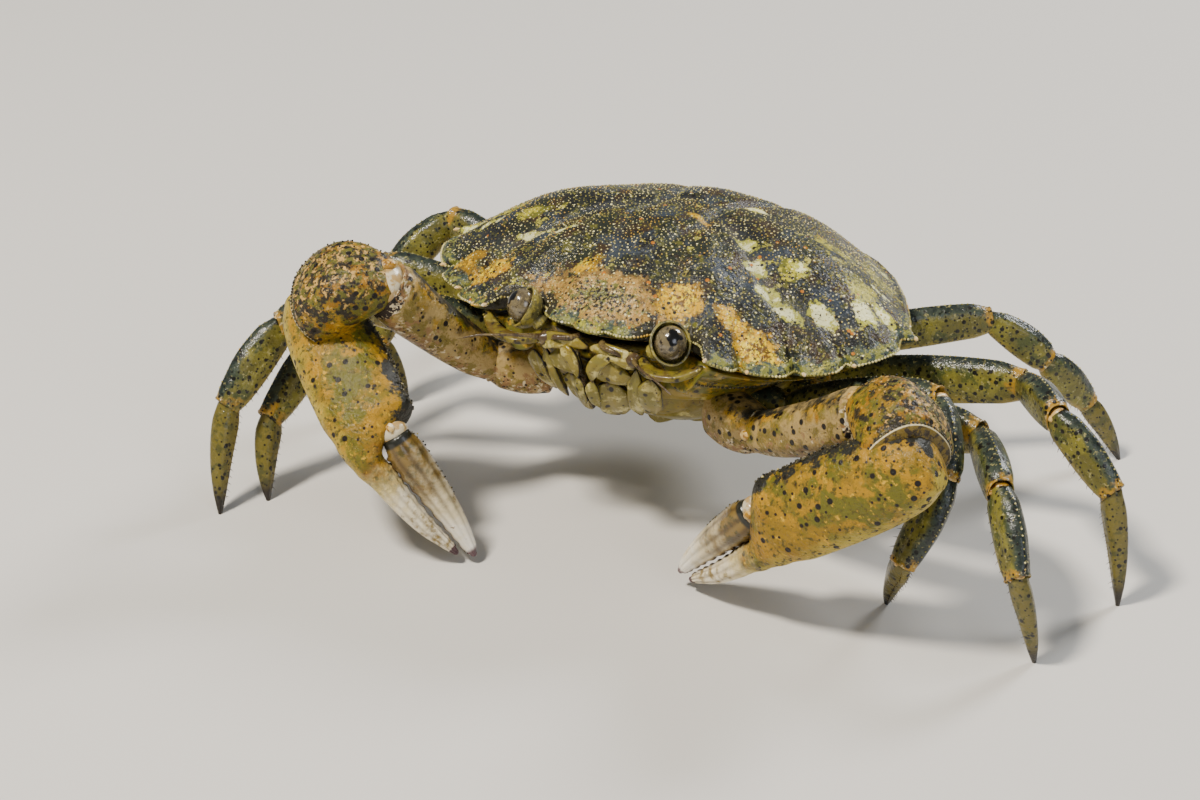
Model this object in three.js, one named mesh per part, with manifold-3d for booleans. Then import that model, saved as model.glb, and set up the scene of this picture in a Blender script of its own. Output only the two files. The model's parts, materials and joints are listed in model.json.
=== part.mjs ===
// Shore crab, life size, standing on eight feet with both claws lowered in front.
// Millimetres, +Z up, head towards -Y, the crab's own left towards +X, floor at z = 0.
import * as THREE from 'three';
import { mergeVertices } from 'three/addons/utils/BufferGeometryUtils.js';
import Module from 'manifold-3d';

const wasm = await Module();
wasm.setup();

// ---------------------------------------------------------------- driving sizes
const BODY_HEIGHT = 30.3; // shell margin's middle above the floor
const NOSE_UP = 8; // degrees that the head end is raised
const STAND = new THREE.Vector3(-7.9, 4.4, 0); // brings the middle of the whole to the origin
const GAP = 0.3; // clearance between neighbouring plates
const SIDES = 8; // sides of a limb's section
const ROUND = 2.4; // superellipse power of a limb's section

// Shell outline, left half, from the middle of the front to the middle of the rear: [x, y, z]
const FRONT_LOBES = [[0, -27.9, 0.5], [1.6, -27.5, 0.5], [2.6, -26.7, 0.6], [4.6, -27.1, 0.6],
  [6.2, -26.8, 0.7], [7.5, -25.9, 0.8]];
const ORBIT = { x: 12.2, y: -25.6, rx: 4.5, ry: 2.9, z: 0.9, steps: 5 };
const TEETH = [[17.7, -25.8, -0.3], [22.0, -21.5, -2.0], [28.2, -16.6, -2.1], [33.6, -12.6, -0.6],
  [38.0, -2.8, 1.9]];
const TOOTH_BULGE = 0.9;
const TOOTH_NOTCH = 0.7;
const REAR_SIDE = [[36.0, -0.3, 2.1], [33.6, 4.6, 2.4], [29.6, 11.6, 2.8], [24.8, 18.6, 3.0],
  [20.0, 24.0, 3.0], [16.4, 26.7, 3.0]];
const REAR_EDGE = [[12.0, 27.6, 3.0], [6.0, 27.9, 3.0], [0, 27.8, 3.0]];

const SHELL = { middle: [0, 1.5], dome: 13.2, power: 2.6, rings: 5, edge: 1.2, lip: 0.985,
  evening: 6, toothFade: 9 };
const SEAM_GAP = 0.8; // the faceted seam needs more than GAP
const SEAM_SHARES = [0.06, 0.5, 0.93]; // where the shell's lower face and the skirt's top are shaped
const SKIRT = { top: 0.93, halfWidth: 19.5, front: -21.5, rear: 26, depth: 8.6, rings: 3,
  roundX: 36, roundY: 26 };
const STERNUM = { halfWidth: 12.2, front: -20 };
// z, inset of the sides and front, rear end
const STERNUM_LEVELS = [[-9.6, 0, 23.5], [-13.2, 0, 19.5], [-15.6, 1.2, 14.5], [-17.2, 3.4, 6]];

// Leg roots on the body's underside, left side, measured from the middle of the margin
const ROOTS = {
  claw: [22.0, -16.0, -11.6],
  leg1: [22.3, -7.9, -10.8],
  leg2: [23.0, 0, -10.8],
  leg3: [21.6, 7.6, -10.1],
  leg4: [17.3, 14.4, -7.2],
};
const ROOT_REACH = 8.6; // length of the root piece from the sternum out to the root

// Pose. Lengths run merus, carpus, propodus, dactylus. Swing is the compass angle of each,
// 0 straight out to the limb's own side, negative towards the head. Rise is its slope.
// A leg's last rise is left out: its dactylus slopes so that its tip reaches the floor.
const CLAW_POSE = {
  left: {
    lengths: [21.6, 12.4, 22.2, 19.3], swing: [-16, -45, -176, 165], rise: [26, -15, -34, -42],
    face: [0.47, -0.77, 0.44],
  },
  right: {
    lengths: [22.8, 12.9, 21.2, 20.9], swing: [-64, -12, -150, 156], rise: [43, -36, -31, -54],
    face: [0.47, -0.77, 0.44],
  },
};
const LEG_POSE = {
  leg1_left: { lengths: [25.3, 11.0, 12.4, 13.6], swing: [-6, -57, -119, 128], rise: [19, -41, -60] },
  leg2_left: { lengths: [28.8, 13.3, 11.4, 14.4], swing: [-14, -54, -46, 56], rise: [8, -6, -47] },
  leg3_left: { lengths: [28.7, 12.1, 12.2, 17.2], swing: [5, -45, -11, -4], rise: [10, 3, -40] },
  leg4_left: { lengths: [23.7, 10.7, 10.8, 11.6], swing: [35, 26, 48, 36], rise: [7, -35, -47] },
  leg1_right: { lengths: [25.6, 11.1, 13.7, 16.2], swing: [-31, -52, -68, -109], rise: [15, -13, -46] },
  leg2_right: { lengths: [26.6, 13.3, 16.4, 12.3], swing: [-17, -85, -81, -117], rise: [16, -27, -36] },
  leg3_right: { lengths: [26.8, 11.9, 10.9, 12.4], swing: [5, -54, -84, 129], rise: [21, -39, -63] },
  leg4_right: { lengths: [23.7, 10.7, 10.8, 11.6], swing: [32, 20, 40, 30], rise: [8, -30, -50] },
};
const STOUT = { leg1: 1, leg2: 1, leg3: 0.97, leg4: 0.84 };

// Limb profiles: [place along the length, depth, thickness, lift]
const LEG_PROFILE = {
  base: [[0, 6.0, 5.6, 0], [0.3, 6.8, 6.0, 0], [0.75, 6.2, 5.0, 0], [1, 4.6, 3.8, 0]],
  merus: [[0, 4.4, 3.4, 0], [0.16, 6.2, 4.0, 0.1], [0.5, 7.0, 4.2, 0.3], [0.88, 6.2, 4.0, 0.2],
    [1, 4.2, 3.2, 0]],
  carpus: [[0, 3.4, 3.0, 0], [0.18, 4.8, 3.7, 0.2], [0.6, 5.9, 4.1, 0.3], [0.9, 5.3, 3.9, 0.1],
    [1, 4.0, 3.2, 0]],
  propodus: [[0, 3.6, 2.9, 0], [0.18, 5.2, 3.6, 0.1], [0.5, 5.6, 3.7, 0.2], [0.85, 4.8, 3.4, 0],
    [1, 3.6, 2.8, 0]],
  dactylus: [[0, 3.2, 2.6, 0], [0.2, 4.1, 2.9, 0.2], [0.6, 3.4, 2.4, 0.5], [1, 1.1, 1.1, 0]],
};
const CLAW_PROFILE = {
  base: [[0, 8.0, 7.0, 0], [0.35, 8.6, 7.4, 0], [0.8, 7.6, 6.6, 0], [1, 6.0, 5.4, 0]],
  merus: [[0, 5.6, 5.4, 0], [0.15, 6.8, 6.4, 0], [0.6, 8.4, 7.4, 0.1], [0.9, 9.2, 8.0, 0.4],
    [1, 7.0, 6.4, 0]],
  carpus: [[-0.12, 6.6, 7.0, 1.0], [0.08, 11.4, 10.6, 1.9], [0.45, 14.2, 12.4, 2.4],
    [0.82, 13.4, 12.0, 1.8], [1.02, 9.6, 9.4, 0.6]],
  palm: [[0.02, 7.0, 5.8, -0.6], [0.14, 10.2, 7.0, -0.3], [0.4, 11.8, 7.8, 0], [0.75, 12.0, 7.4, 0.2],
    [1, 10.0, 5.8, 0]],
  fixed: [[-0.2, 4.2, 4.2, 0], [0, 4.6, 4.4, -0.2], [0.35, 4.0, 3.6, -0.6], [0.7, 2.8, 2.6, -0.5],
    [0.93, 1.6, 1.5, -0.1], [1, 0.9, 0.9, 0]],
  dactylus: [[0.02, 4.2, 3.8, 0], [0.14, 5.1, 4.6, 0], [0.4, 4.5, 3.9, 0.2], [0.72, 3.2, 2.8, 0.3],
    [0.94, 1.8, 1.7, 0.1], [1, 1.0, 1.0, 0]],
};
const FINGER_SPREAD = 2.75; // each finger's root above or below the palm's middle line
const TIP_SPREAD = 0.95;
const FIXED_SHARE = 0.93; // the fixed finger's length as a share of the movable one's

const EYE = { at: [11.9, -25.2, 0.9], radius: 2.35, stalkRadius: 1.35, stalkTo: [8.6, -24.2, -1.6] };
const MOUTH = { inner: 0.25, outer: 7.4, top: -3.6, bottom: -13.2, front: -25.2, thick: 2.4 };
const ANTENNA = { from: [7.3, -26.3, -2.4], by: [10.4, -31.2, -1.4], to: [17.2, -33.4, -3.2],
  root: 1.5, tip: 0.55 };
// Tail flap folded under the body: [y, z, width] along its middle line
const TAIL = [[27.4, 0.9, 17.0], [28.4, -2.8, 16.0], [26.8, -7.2, 13.6], [22.6, -12.2, 11.2],
  [15.0, -16.6, 9.4], [5.0, -18.1, 7.4], [-6.5, -17.9, 3.0]];
const TAIL_THICKNESS = 1.5;

const COLOURS = {
  shell: 0x3c4232, underside: 0xb0a24e, sternum: 0xd8ceA0, tail: 0xcfc596, eye: 0x5a4f3c,
  mouth: 0xd6cd9c, antenna: 0x8c7b4a, claw: 0xb8933a, finger: 0xcdb98a, leg: 0x6f7a4c,
};

// ---------------------------------------------------------------- solids
/** A closed geometry through equal rings of points, with a fan over each end. */
function loft(rings) {
  const count = rings[0].length;
  const points = rings.flat();
  const faces = [];
  for (let ring = 0; ring < rings.length - 1; ring++) {
    for (let side = 0; side < count; side++) {
      const next = (side + 1) % count;
      const a = ring * count + side;
      const b = ring * count + next;
      faces.push([a, b, b + count], [a, b + count, a + count]);
    }
  }
  const last = (rings.length - 1) * count;
  for (let side = 1; side < count - 1; side++) {
    faces.push([0, side + 1, side], [last, last + side, last + side + 1]);
  }
  return solidFrom(points, faces);
}

/** A manifold-3d solid from points and triangles, turned so that its faces point out. */
function solidFrom(points, faces) {
  let volume = 0;
  for (const [a, b, c] of faces) {
    volume += points[a].dot(new THREE.Vector3().crossVectors(points[b], points[c]));
  }
  const turned = volume < 0 ? faces.map(([a, b, c]) => [a, c, b]) : faces;
  const geometry = new THREE.BufferGeometry().setFromPoints(points);
  geometry.setIndex(turned.flat());
  return toSolid(geometry);
}

function toSolid(geometry) {
  const bare = geometry.clone();
  bare.deleteAttribute('normal');
  bare.deleteAttribute('uv');
  const merged = mergeVertices(bare, 1e-4);
  return new wasm.Manifold(new wasm.Mesh({
    numProp: 3,
    vertProperties: new Float32Array(merged.attributes.position.array),
    triVerts: new Uint32Array(merged.index.array),
  }));
}

function toGeometry(solid) {
  const mesh = solid.getMesh();
  const geometry = new THREE.BufferGeometry();
  geometry.setAttribute('position', new THREE.BufferAttribute(mesh.vertProperties, 3));
  geometry.setIndex(new THREE.BufferAttribute(mesh.triVerts, 1));
  geometry.computeVertexNormals();
  return geometry;
}

/** Only the largest body of a cut solid, so that no loose sliver stays. */
function largest(solid) {
  const bodies = solid.decompose();
  return bodies.reduce((best, body) => (body.volume() > best.volume() ? body : best));
}

const group = new THREE.Group();
group.position.copy(STAND);

function addMesh(name, solid, colour, roughness) {
  const material = new THREE.MeshStandardMaterial({ color: colour, roughness, metalness: 0 });
  const mesh = new THREE.Mesh(toGeometry(solid), material);
  mesh.name = name;
  group.add(mesh);
}

// ---------------------------------------------------------------- body frame
const tilt = new THREE.Matrix4().makeRotationX(THREE.MathUtils.degToRad(-NOSE_UP));
const bodyToFloor = new THREE.Matrix4().makeTranslation(0, 0, BODY_HEIGHT).multiply(tilt);

/** A point given on the body, brought to where the body stands. */
function onBody(x, y, z) {
  return new THREE.Vector3(x, y, z).applyMatrix4(bodyToFloor);
}

// ---------------------------------------------------------------- shell and body
function orbitArc() {
  const points = [];
  for (let step = 1; step <= ORBIT.steps; step++) {
    const angle = Math.PI * (1 - step / (ORBIT.steps + 1));
    const x = ORBIT.x + ORBIT.rx * Math.cos(angle);
    const y = ORBIT.y + ORBIT.ry * Math.sin(angle);
    points.push([x, y, ORBIT.z]);
  }
  return points;
}

/** The saw edge: each tooth's tip, its bulging outer side, then the notch before the next. */
function toothedEdge() {
  const points = [TEETH[0]];
  for (let tooth = 1; tooth < TEETH.length; tooth++) {
    const [ax, ay, az] = TEETH[tooth - 1];
    const [bx, by, bz] = TEETH[tooth];
    const span = Math.hypot(bx - ax, by - ay);
    const out = [-(by - ay) / span * -1, -(bx - ax) / span];
    const place = (share, away) => [
      ax + (bx - ax) * share + out[0] * away,
      ay + (by - ay) * share + out[1] * away,
      az + (bz - az) * share,
    ];
    points.push(place(0.3, TOOTH_BULGE), place(0.65, TOOTH_BULGE), place(0.88, -TOOTH_NOTCH));
    points.push(TEETH[tooth]);
  }
  return points;
}

function shellOutline() {
  const half = [...FRONT_LOBES, ...orbitArc(), ...toothedEdge(), ...REAR_SIDE, ...REAR_EDGE];
  const other = half.slice(1, -1).reverse().map(([x, y, z]) => [-x, y, z]);
  return [...half, ...other];
}

/** A closed outline evened out, so that the teeth and the eye notches fade from it. */
function evened(outline) {
  let points = outline;
  for (let pass = 0; pass < SHELL.evening; pass++) {
    points = points.map((point, index) => {
      const before = points[(index - 1 + points.length) % points.length];
      const after = points[(index + 1) % points.length];
      return point.map((value, axis) => (before[axis] + 2 * value + after[axis]) / 4);
    });
  }
  return points;
}

/** A ring of the shell's top, a share of the way from its middle to the toothed margin. */
function shellTop(outline, even, share) {
  const [middleX, middleY] = SHELL.middle;
  const sharp = share ** SHELL.toothFade;
  return outline.map(([x, y, z], index) => {
    const [evenX, evenY, evenZ] = even[index];
    const reachX = evenX + (x - evenX) * sharp - middleX;
    const reachY = evenY + (y - evenY) * sharp - middleY;
    const margin = evenZ + (z - evenZ) * sharp;
    const height = margin * share * share + SHELL.dome * (1 - share ** SHELL.power);
    return onBody(middleX + reachX * share, middleY + reachY * share, height);
  });
}

/** The shell's hollowed lower face, parallel to the margin. */
function shellBottom([x, y, z], share) {
  const [middleX, middleY] = SHELL.middle;
  const height = z * share * share - SHELL.edge;
  return [middleX + (x - middleX) * share, middleY + (y - middleY) * share, height];
}

function shellSolid() {
  const outline = shellOutline();
  const even = evened(outline);
  const rings = [];
  for (let step = 1; step <= SHELL.rings; step++) {
    const share = Math.sin((Math.PI / 2) * (step / SHELL.rings));
    rings.push(shellTop(outline, even, share));
  }
  rings.push(outline.map((point) => onBody(...shellBottom(point, SHELL.lip))));
  for (const share of [...SEAM_SHARES].reverse()) {
    rings.push(even.map((point) => onBody(...shellBottom(point, share))));
  }
  return loft(rings);
}

/** The sloping wall under the margin, from the shell in to the roots of the legs. */
function skirtSolid() {
  const outline = evened(shellOutline()).filter((point, index) => index % 3 === 0);
  const rings = SEAM_SHARES.map((share) => outline.map((point) => {
    const [x, y, z] = shellBottom(point, share);
    return onBody(x, y, z - SEAM_GAP);
  }));
  for (let step = 1; step <= SKIRT.rings; step++) {
    const share = step / SKIRT.rings;
    const blend = Math.sin((Math.PI / 2) * share);
    rings.push(outline.map((point) => {
      const [x, y, z] = shellBottom(point, SKIRT.top);
      const angle = Math.atan2(y / SKIRT.roundY, x / SKIRT.roundX);
      const lowX = SKIRT.halfWidth * Math.cos(angle);
      const lowY = (y < 0 ? -SKIRT.front : SKIRT.rear) * Math.sin(angle);
      return onBody(
        x + (lowX - x) * blend,
        y + (lowY - y) * blend,
        z + (-SKIRT.depth - z) * share - SEAM_GAP,
      );
    }));
  }
  return loft(rings);
}

function sternumSolid() {
  const rings = [];
  for (const [z, inset, rear] of STERNUM_LEVELS) {
    const ring = [];
    const width = STERNUM.halfWidth - inset;
    for (let step = 0; step < 20; step++) {
      const angle = (step / 20) * Math.PI * 2;
      const along = Math.sin(angle);
      const reach = along < 0 ? -STERNUM.front - inset : rear;
      ring.push(onBody(width * Math.cos(angle), reach * along, z));
    }
    rings.push(ring);
  }
  return loft(rings);
}

/** The tail flap: a flat strap that follows a path under the body. */
function tailSolid(grow = 0) {
  const rings = TAIL.map(([y, z, width], index) => {
    const before = TAIL[Math.max(index - 1, 0)];
    const after = TAIL[Math.min(index + 1, TAIL.length - 1)];
    const along = new THREE.Vector2(after[0] - before[0], after[1] - before[1]).normalize();
    const half = width / 2 + grow;
    const thick = TAIL_THICKNESS / 2 + grow;
    const section = [[-half, 0], [-half * 0.55, thick], [half * 0.55, thick], [half, 0],
      [half * 0.55, -thick], [-half * 0.55, -thick]];
    return section.map(([x, n]) => onBody(x, y - along.y * n, z + along.x * n));
  });
  return loft(rings);
}

// ---------------------------------------------------------------- limbs
function direction(side, swing, rise) {
  const a = THREE.MathUtils.degToRad(swing);
  const b = THREE.MathUtils.degToRad(rise);
  return new THREE.Vector3(side * Math.cos(a) * Math.cos(b), Math.sin(a) * Math.cos(b), Math.sin(b));
}

/** The joints of a limb from its root to its tip. */
function limbJoints(root, side, pose) {
  const joints = [onBody(side * root[0], root[1], root[2])];
  pose.lengths.forEach((length, index) => {
    const from = joints[index];
    const landing = -THREE.MathUtils.radToDeg(Math.asin(Math.min(1, from.z / length)));
    const rise = pose.rise[index] ?? landing;
    joints.push(from.clone().addScaledVector(direction(side, pose.swing[index], rise), length));
  });
  return joints;
}

/** A limb piece: sections along a straight line, deep along up and thin across it. */
function limbSolid(from, to, across, profile, stout = 1, grow = 0) {
  const along = new THREE.Vector3().subVectors(to, from);
  const length = along.length();
  along.normalize();
  const thin = across.clone().addScaledVector(along, -across.dot(along)).normalize();
  const up = new THREE.Vector3().crossVectors(thin, along).normalize();
  if (up.z < 0) up.negate();
  const last = profile.length - 1;
  return loft(profile.map(([share, depth, thickness, lift], index) => {
    const end = (index === 0 ? -grow : 0) + (index === last ? grow : 0);
    const centre = from.clone().addScaledVector(along, share * length + end);
    centre.addScaledVector(up, lift * stout);
    const ring = [];
    for (let side = 0; side < SIDES; side++) {
      const angle = (side / SIDES) * Math.PI * 2;
      const c = Math.cos(angle);
      const s = Math.sin(angle);
      const radius = (Math.abs(c) ** ROUND + Math.abs(s) ** ROUND) ** (-1 / ROUND);
      const h = ((depth * stout) / 2 + grow) * radius * c;
      const w = ((thickness * stout) / 2 + grow) * radius * s;
      ring.push(centre.clone().addScaledVector(up, h).addScaledVector(thin, w));
    }
    return ring;
  }));
}

/** The level direction across a limb that bends mostly in one upright plane. */
function acrossLimb(joints) {
  const reach = new THREE.Vector3().subVectors(joints[3], joints[0]);
  return new THREE.Vector3(reach.y, -reach.x, 0).normalize();
}

const floor = toSolid(new THREE.BoxGeometry(300, 300, 20).translate(0, 0, -10));
const roots = []; // grown copies that the body makes room for

/** Pieces in order from the body out: each is hollowed where the next one enters it. */
function nestPieces(pieces) {
  return pieces.map((piece, index) => {
    let solid = piece.build(0);
    if (index + 1 < pieces.length) solid = solid.subtract(pieces[index + 1].build(GAP));
    return largest(solid.subtract(floor));
  });
}

function rootPiece(joints, side, profile, stout, across) {
  const inward = new THREE.Vector3(-side, 0, -0.12).normalize();
  const inner = joints[0].clone().addScaledVector(inward, ROOT_REACH);
  const outer = joints[0];
  const build = (grow) => limbSolid(inner, outer, across, profile, stout, grow);
  roots.push(build(GAP));
  return { build };
}

function makeLeg(name, legName, side) {
  const pose = LEG_POSE[name];
  const stout = STOUT[legName];
  const joints = limbJoints(ROOTS[legName], side, pose);
  const across = acrossLimb(joints);
  const pieces = [rootPiece(joints, side, LEG_PROFILE.base, stout, new THREE.Vector3(0, 1, 0))];
  ['merus', 'carpus', 'propodus', 'dactylus'].forEach((part, index) => {
    const build = (grow) => limbSolid(
      joints[index], joints[index + 1], across, LEG_PROFILE[part], stout, grow);
    pieces.push({ build });
  });
  roots.push(pieces[1].build(GAP));
  const solids = nestPieces(pieces);
  ['base', 'merus', 'carpus', 'propodus', 'dactylus'].forEach((part, index) => {
    addMesh(`${name}_${part}`, solids[index], COLOURS.leg, 0.45);
  });
}

function makeClaw(name, side, pose) {
  const joints = limbJoints(ROOTS.claw, side, pose);
  const [root, elbow, wrist, knuckle, tip] = joints;
  const face = new THREE.Vector3(...pose.face);
  const palmAlong = new THREE.Vector3().subVectors(knuckle, wrist).normalize();
  const palmThin = face.clone().addScaledVector(palmAlong, -face.dot(palmAlong)).normalize();
  const palmUp = new THREE.Vector3().crossVectors(palmThin, palmAlong).multiplyScalar(-side);
  const armAlong = new THREE.Vector3().subVectors(elbow, root).normalize();
  const elbowAcross = new THREE.Vector3().crossVectors(armAlong, palmAlong).normalize();
  const level = new THREE.Vector3(armAlong.y, -armAlong.x, 0).normalize();

  const knuckleAt = (spread) => knuckle.clone().addScaledVector(palmUp, spread);
  const tipAt = (spread, share) => knuckle.clone().lerp(tip, share).addScaledVector(palmUp, spread);
  const finger = (grow) => limbSolid(
    knuckleAt(FINGER_SPREAD), tipAt(TIP_SPREAD, 1), palmThin, CLAW_PROFILE.dactylus, 1, grow);
  const palm = (grow) => limbSolid(wrist, knuckle, palmThin, CLAW_PROFILE.palm, 1, grow).add(
    limbSolid(knuckleAt(-FINGER_SPREAD), tipAt(-TIP_SPREAD, FIXED_SHARE), palmThin,
      CLAW_PROFILE.fixed, 1, grow));
  const pieces = [
    rootPiece(joints, side, CLAW_PROFILE.base, 1, new THREE.Vector3(0, 1, 0)),
    { build: (grow) => limbSolid(root, elbow, level, CLAW_PROFILE.merus, 1, grow) },
    { build: (grow) => limbSolid(elbow, wrist, elbowAcross, CLAW_PROFILE.carpus, 1, grow) },
    { build: palm },
    { build: finger },
  ];
  roots.push(pieces[1].build(GAP));
  const solids = nestPieces(pieces);
  ['base', 'merus', 'carpus', 'palm'].forEach((part, index) => {
    addMesh(`${name}_${part}`, solids[index], COLOURS.claw, 0.4);
  });
  addMesh(`${name}_finger`, solids[4], COLOURS.finger, 0.4);
}

// ---------------------------------------------------------------- head
function ballSolid(centre, radius, grow = 0) {
  const ball = new THREE.SphereGeometry(radius + grow, 12, 7);
  ball.translate(centre.x, centre.y, centre.z);
  return toSolid(ball);
}

function eyeSolid(side, grow = 0) {
  const [x, y, z] = EYE.at;
  const [sx, sy, sz] = EYE.stalkTo;
  const centre = onBody(side * x, y, z);
  const foot = onBody(side * sx, sy, sz);
  const stalk = limbSolid(foot, centre, new THREE.Vector3(0, 1, 0),
    [[0, 2 * EYE.stalkRadius, 2 * EYE.stalkRadius, 0], [1, 3, 3, 0]], 1, grow);
  return ballSolid(centre, EYE.radius, grow).add(stalk);
}

/** One of the pair of plates that close over the mouth. */
function maxillipedSolid(side, grow = 0) {
  const { inner, outer, top, bottom, front, thick } = MOUTH;
  const rows = [[0, 0.75, 0], [0.25, 1, -0.6], [0.6, 0.92, -0.4], [0.85, 0.7, 0.6], [1, 0.4, 1.8]];
  return loft(rows.map(([share, width, back], index) => {
    const end = (index === 0 ? grow : 0) - (index === rows.length - 1 ? grow : 0);
    const z = top + (bottom - top) * share + end;
    const x0 = inner - grow;
    const x1 = inner + (outer - inner) * width + grow;
    const y0 = front + back - grow;
    const y1 = front + back + thick + grow;
    const middle = (x0 + x1) / 2;
    return [[x0, y0 + 0.5], [middle, y0], [x1, y0 + 0.9], [x1, y1], [x0, y1]]
      .map(([x, y]) => onBody(side * x, y, z));
  }));
}

function antennaSolid(side, grow = 0) {
  const point = ([x, y, z]) => onBody(side * x, y, z);
  const curve = new THREE.QuadraticBezierCurve3(
    point(ANTENNA.from), point(ANTENNA.by), point(ANTENNA.to));
  const steps = 8;
  const rings = [];
  for (let step = 0; step <= steps; step++) {
    const share = step / steps;
    const centre = curve.getPoint(share);
    const along = curve.getTangent(share);
    const u = new THREE.Vector3(0, 0, 1).cross(along).normalize();
    const v = new THREE.Vector3().crossVectors(along, u);
    const radius = (ANTENNA.root + (ANTENNA.tip - ANTENNA.root) * share ** 0.6) / 2 + grow;
    const ring = [];
    for (let side6 = 0; side6 < 6; side6++) {
      const angle = (side6 / 6) * Math.PI * 2;
      ring.push(centre.clone().addScaledVector(u, radius * Math.cos(angle))
        .addScaledVector(v, radius * Math.sin(angle)));
    }
    rings.push(ring);
  }
  return loft(rings);
}

// ---------------------------------------------------------------- assembly
for (const [sideName, side] of [['left', 1], ['right', -1]]) {
  makeClaw(`claw_${sideName}`, side, CLAW_POSE[sideName]);
  for (const legName of ['leg1', 'leg2', 'leg3', 'leg4']) {
    makeLeg(`${legName}_${sideName}`, legName, side);
  }
}

let shell = shellSolid();
let skirt = skirtSolid().subtract(tailSolid(GAP));
let sternum = sternumSolid().subtract(tailSolid(GAP));
for (const root of roots) {
  skirt = skirt.subtract(root);
  sternum = sternum.subtract(root);
}
for (const [sideName, side] of [['left', 1], ['right', -1]]) {
  shell = shell.subtract(eyeSolid(side, GAP)).subtract(antennaSolid(side, GAP));
  skirt = skirt.subtract(eyeSolid(side, GAP)).subtract(antennaSolid(side, GAP));
  skirt = skirt.subtract(maxillipedSolid(side, GAP));
  sternum = sternum.subtract(maxillipedSolid(side, GAP));
  const antenna = antennaSolid(side).subtract(eyeSolid(side, GAP));
  const mouth = maxillipedSolid(side).subtract(antennaSolid(side, GAP));
  addMesh(`eye_${sideName}`, eyeSolid(side), COLOURS.eye, 0.15);
  addMesh(`antenna_${sideName}`, largest(antenna), COLOURS.antenna, 0.5);
  addMesh(`maxilliped_${sideName}`, largest(mouth), COLOURS.mouth, 0.45);
}
shell = shell.subtract(tailSolid(GAP));
addMesh('carapace', largest(shell), COLOURS.shell, 0.4);
addMesh('underside', largest(skirt), COLOURS.underside, 0.45);
addMesh('sternum', largest(sternum), COLOURS.sternum, 0.45);
addMesh('abdomen', tailSolid(), COLOURS.tail, 0.45);

export default group;
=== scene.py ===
# %% [markdown]
# # A shore crab in bmesh and shader nodes
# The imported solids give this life-size shore crab its true sizes and its stance. This script dresses
# them: every plate of the shell is modelled again with its ridges, rims and joints, and painted with
# the mottled colours of a living crab.
#
# A crab is a suit of armour. Each plate is a stiff shell of chitin and chalk, and between two plates
# lies a ring of soft skin. So the crab is built as separate plates, as it is in nature, and each plate
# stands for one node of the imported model.

# %% Load the frame
import json
import math

import bmesh
import bpy
import numpy as np
from mathutils import Matrix, Vector

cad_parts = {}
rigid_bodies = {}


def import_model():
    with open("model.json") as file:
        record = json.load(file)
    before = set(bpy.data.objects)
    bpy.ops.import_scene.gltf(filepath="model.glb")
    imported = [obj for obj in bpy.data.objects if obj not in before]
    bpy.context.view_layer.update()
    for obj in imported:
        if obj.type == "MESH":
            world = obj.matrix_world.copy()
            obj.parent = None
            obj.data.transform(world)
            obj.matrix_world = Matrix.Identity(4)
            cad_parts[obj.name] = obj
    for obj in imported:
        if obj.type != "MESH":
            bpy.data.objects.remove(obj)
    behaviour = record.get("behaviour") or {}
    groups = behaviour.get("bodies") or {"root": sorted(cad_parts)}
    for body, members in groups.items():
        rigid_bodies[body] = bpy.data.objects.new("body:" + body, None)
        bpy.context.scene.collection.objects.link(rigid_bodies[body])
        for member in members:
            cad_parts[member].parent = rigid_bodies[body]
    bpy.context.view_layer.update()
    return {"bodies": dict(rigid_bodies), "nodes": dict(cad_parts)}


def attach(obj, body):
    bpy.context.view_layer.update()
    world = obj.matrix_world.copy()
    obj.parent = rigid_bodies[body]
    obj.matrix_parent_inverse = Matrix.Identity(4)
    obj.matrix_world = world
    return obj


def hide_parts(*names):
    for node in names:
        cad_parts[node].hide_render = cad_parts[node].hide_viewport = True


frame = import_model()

BODY = next(iter(frame["bodies"]))
MM = 0.001  # one millimetre in Blender's metres
SIDES = (("left", 1), ("right", -1))  # the crab's own left and right, and the sign of x there
UP = (0.0, 0.0, 1.0)
print("body:", BODY, "nodes:", len(frame["nodes"]))

# %% [markdown]
# ## Camera
# The camera looks down a little on the crab, from one side of its head. A long lens keeps the near
# claw from swelling. The camera could be aimed with a Track To constraint, but two angles and a
# distance say the same thing in numbers that can be changed one at a time.

# %% Camera
VIEW_AZIMUTH = math.radians(31.36)
VIEW_ELEVATION = math.radians(26.02)
VIEW_DISTANCE = 0.3685
VIEW_AIM = Vector((-0.01058, -0.01464, 0.0200))
LENS = 78

back = Vector((
    math.sin(VIEW_AZIMUTH) * math.cos(VIEW_ELEVATION),
    -math.cos(VIEW_AZIMUTH) * math.cos(VIEW_ELEVATION),
    math.sin(VIEW_ELEVATION),
))
camera = bpy.data.objects.new("camera", bpy.data.cameras.new("camera"))
bpy.context.scene.collection.objects.link(camera)
camera.location = VIEW_AIM + back * VIEW_DISTANCE
camera.rotation_mode = "QUATERNION"
camera.rotation_quaternion = (-back).to_track_quat("-Z", "Y")
camera.data.lens = LENS
camera.data.sensor_width = 36
camera.data.clip_start = 0.01
bpy.context.scene.camera = camera
print("camera at", [round(value, 4) for value in camera.location])

# %% [markdown]
# ## Nodes by one small helper
# A material is a little graph. Typing each node and each link out takes many lines, so one helper adds
# a node, sets its settings and fills its inputs: an input that is given a socket is linked to it, and
# any other value is typed in. Colours are given as sRGB hex codes, as a screen shows them, while the
# renderer mixes light in linear values, so one function turns a hex code to linear.

# %% Node helper and colour helper
def add(tree, kind, inputs=None, **settings):
    """Adds a shader node with its settings, and links or fills its inputs."""
    node = tree.nodes.new(f"ShaderNode{kind}")
    for name, value in settings.items():
        setattr(node, name, value)
    for key, value in (inputs or {}).items():
        if isinstance(value, bpy.types.NodeSocket):
            tree.links.new(value, node.inputs[key])
        else:
            node.inputs[key].default_value = value
    return node


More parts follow.
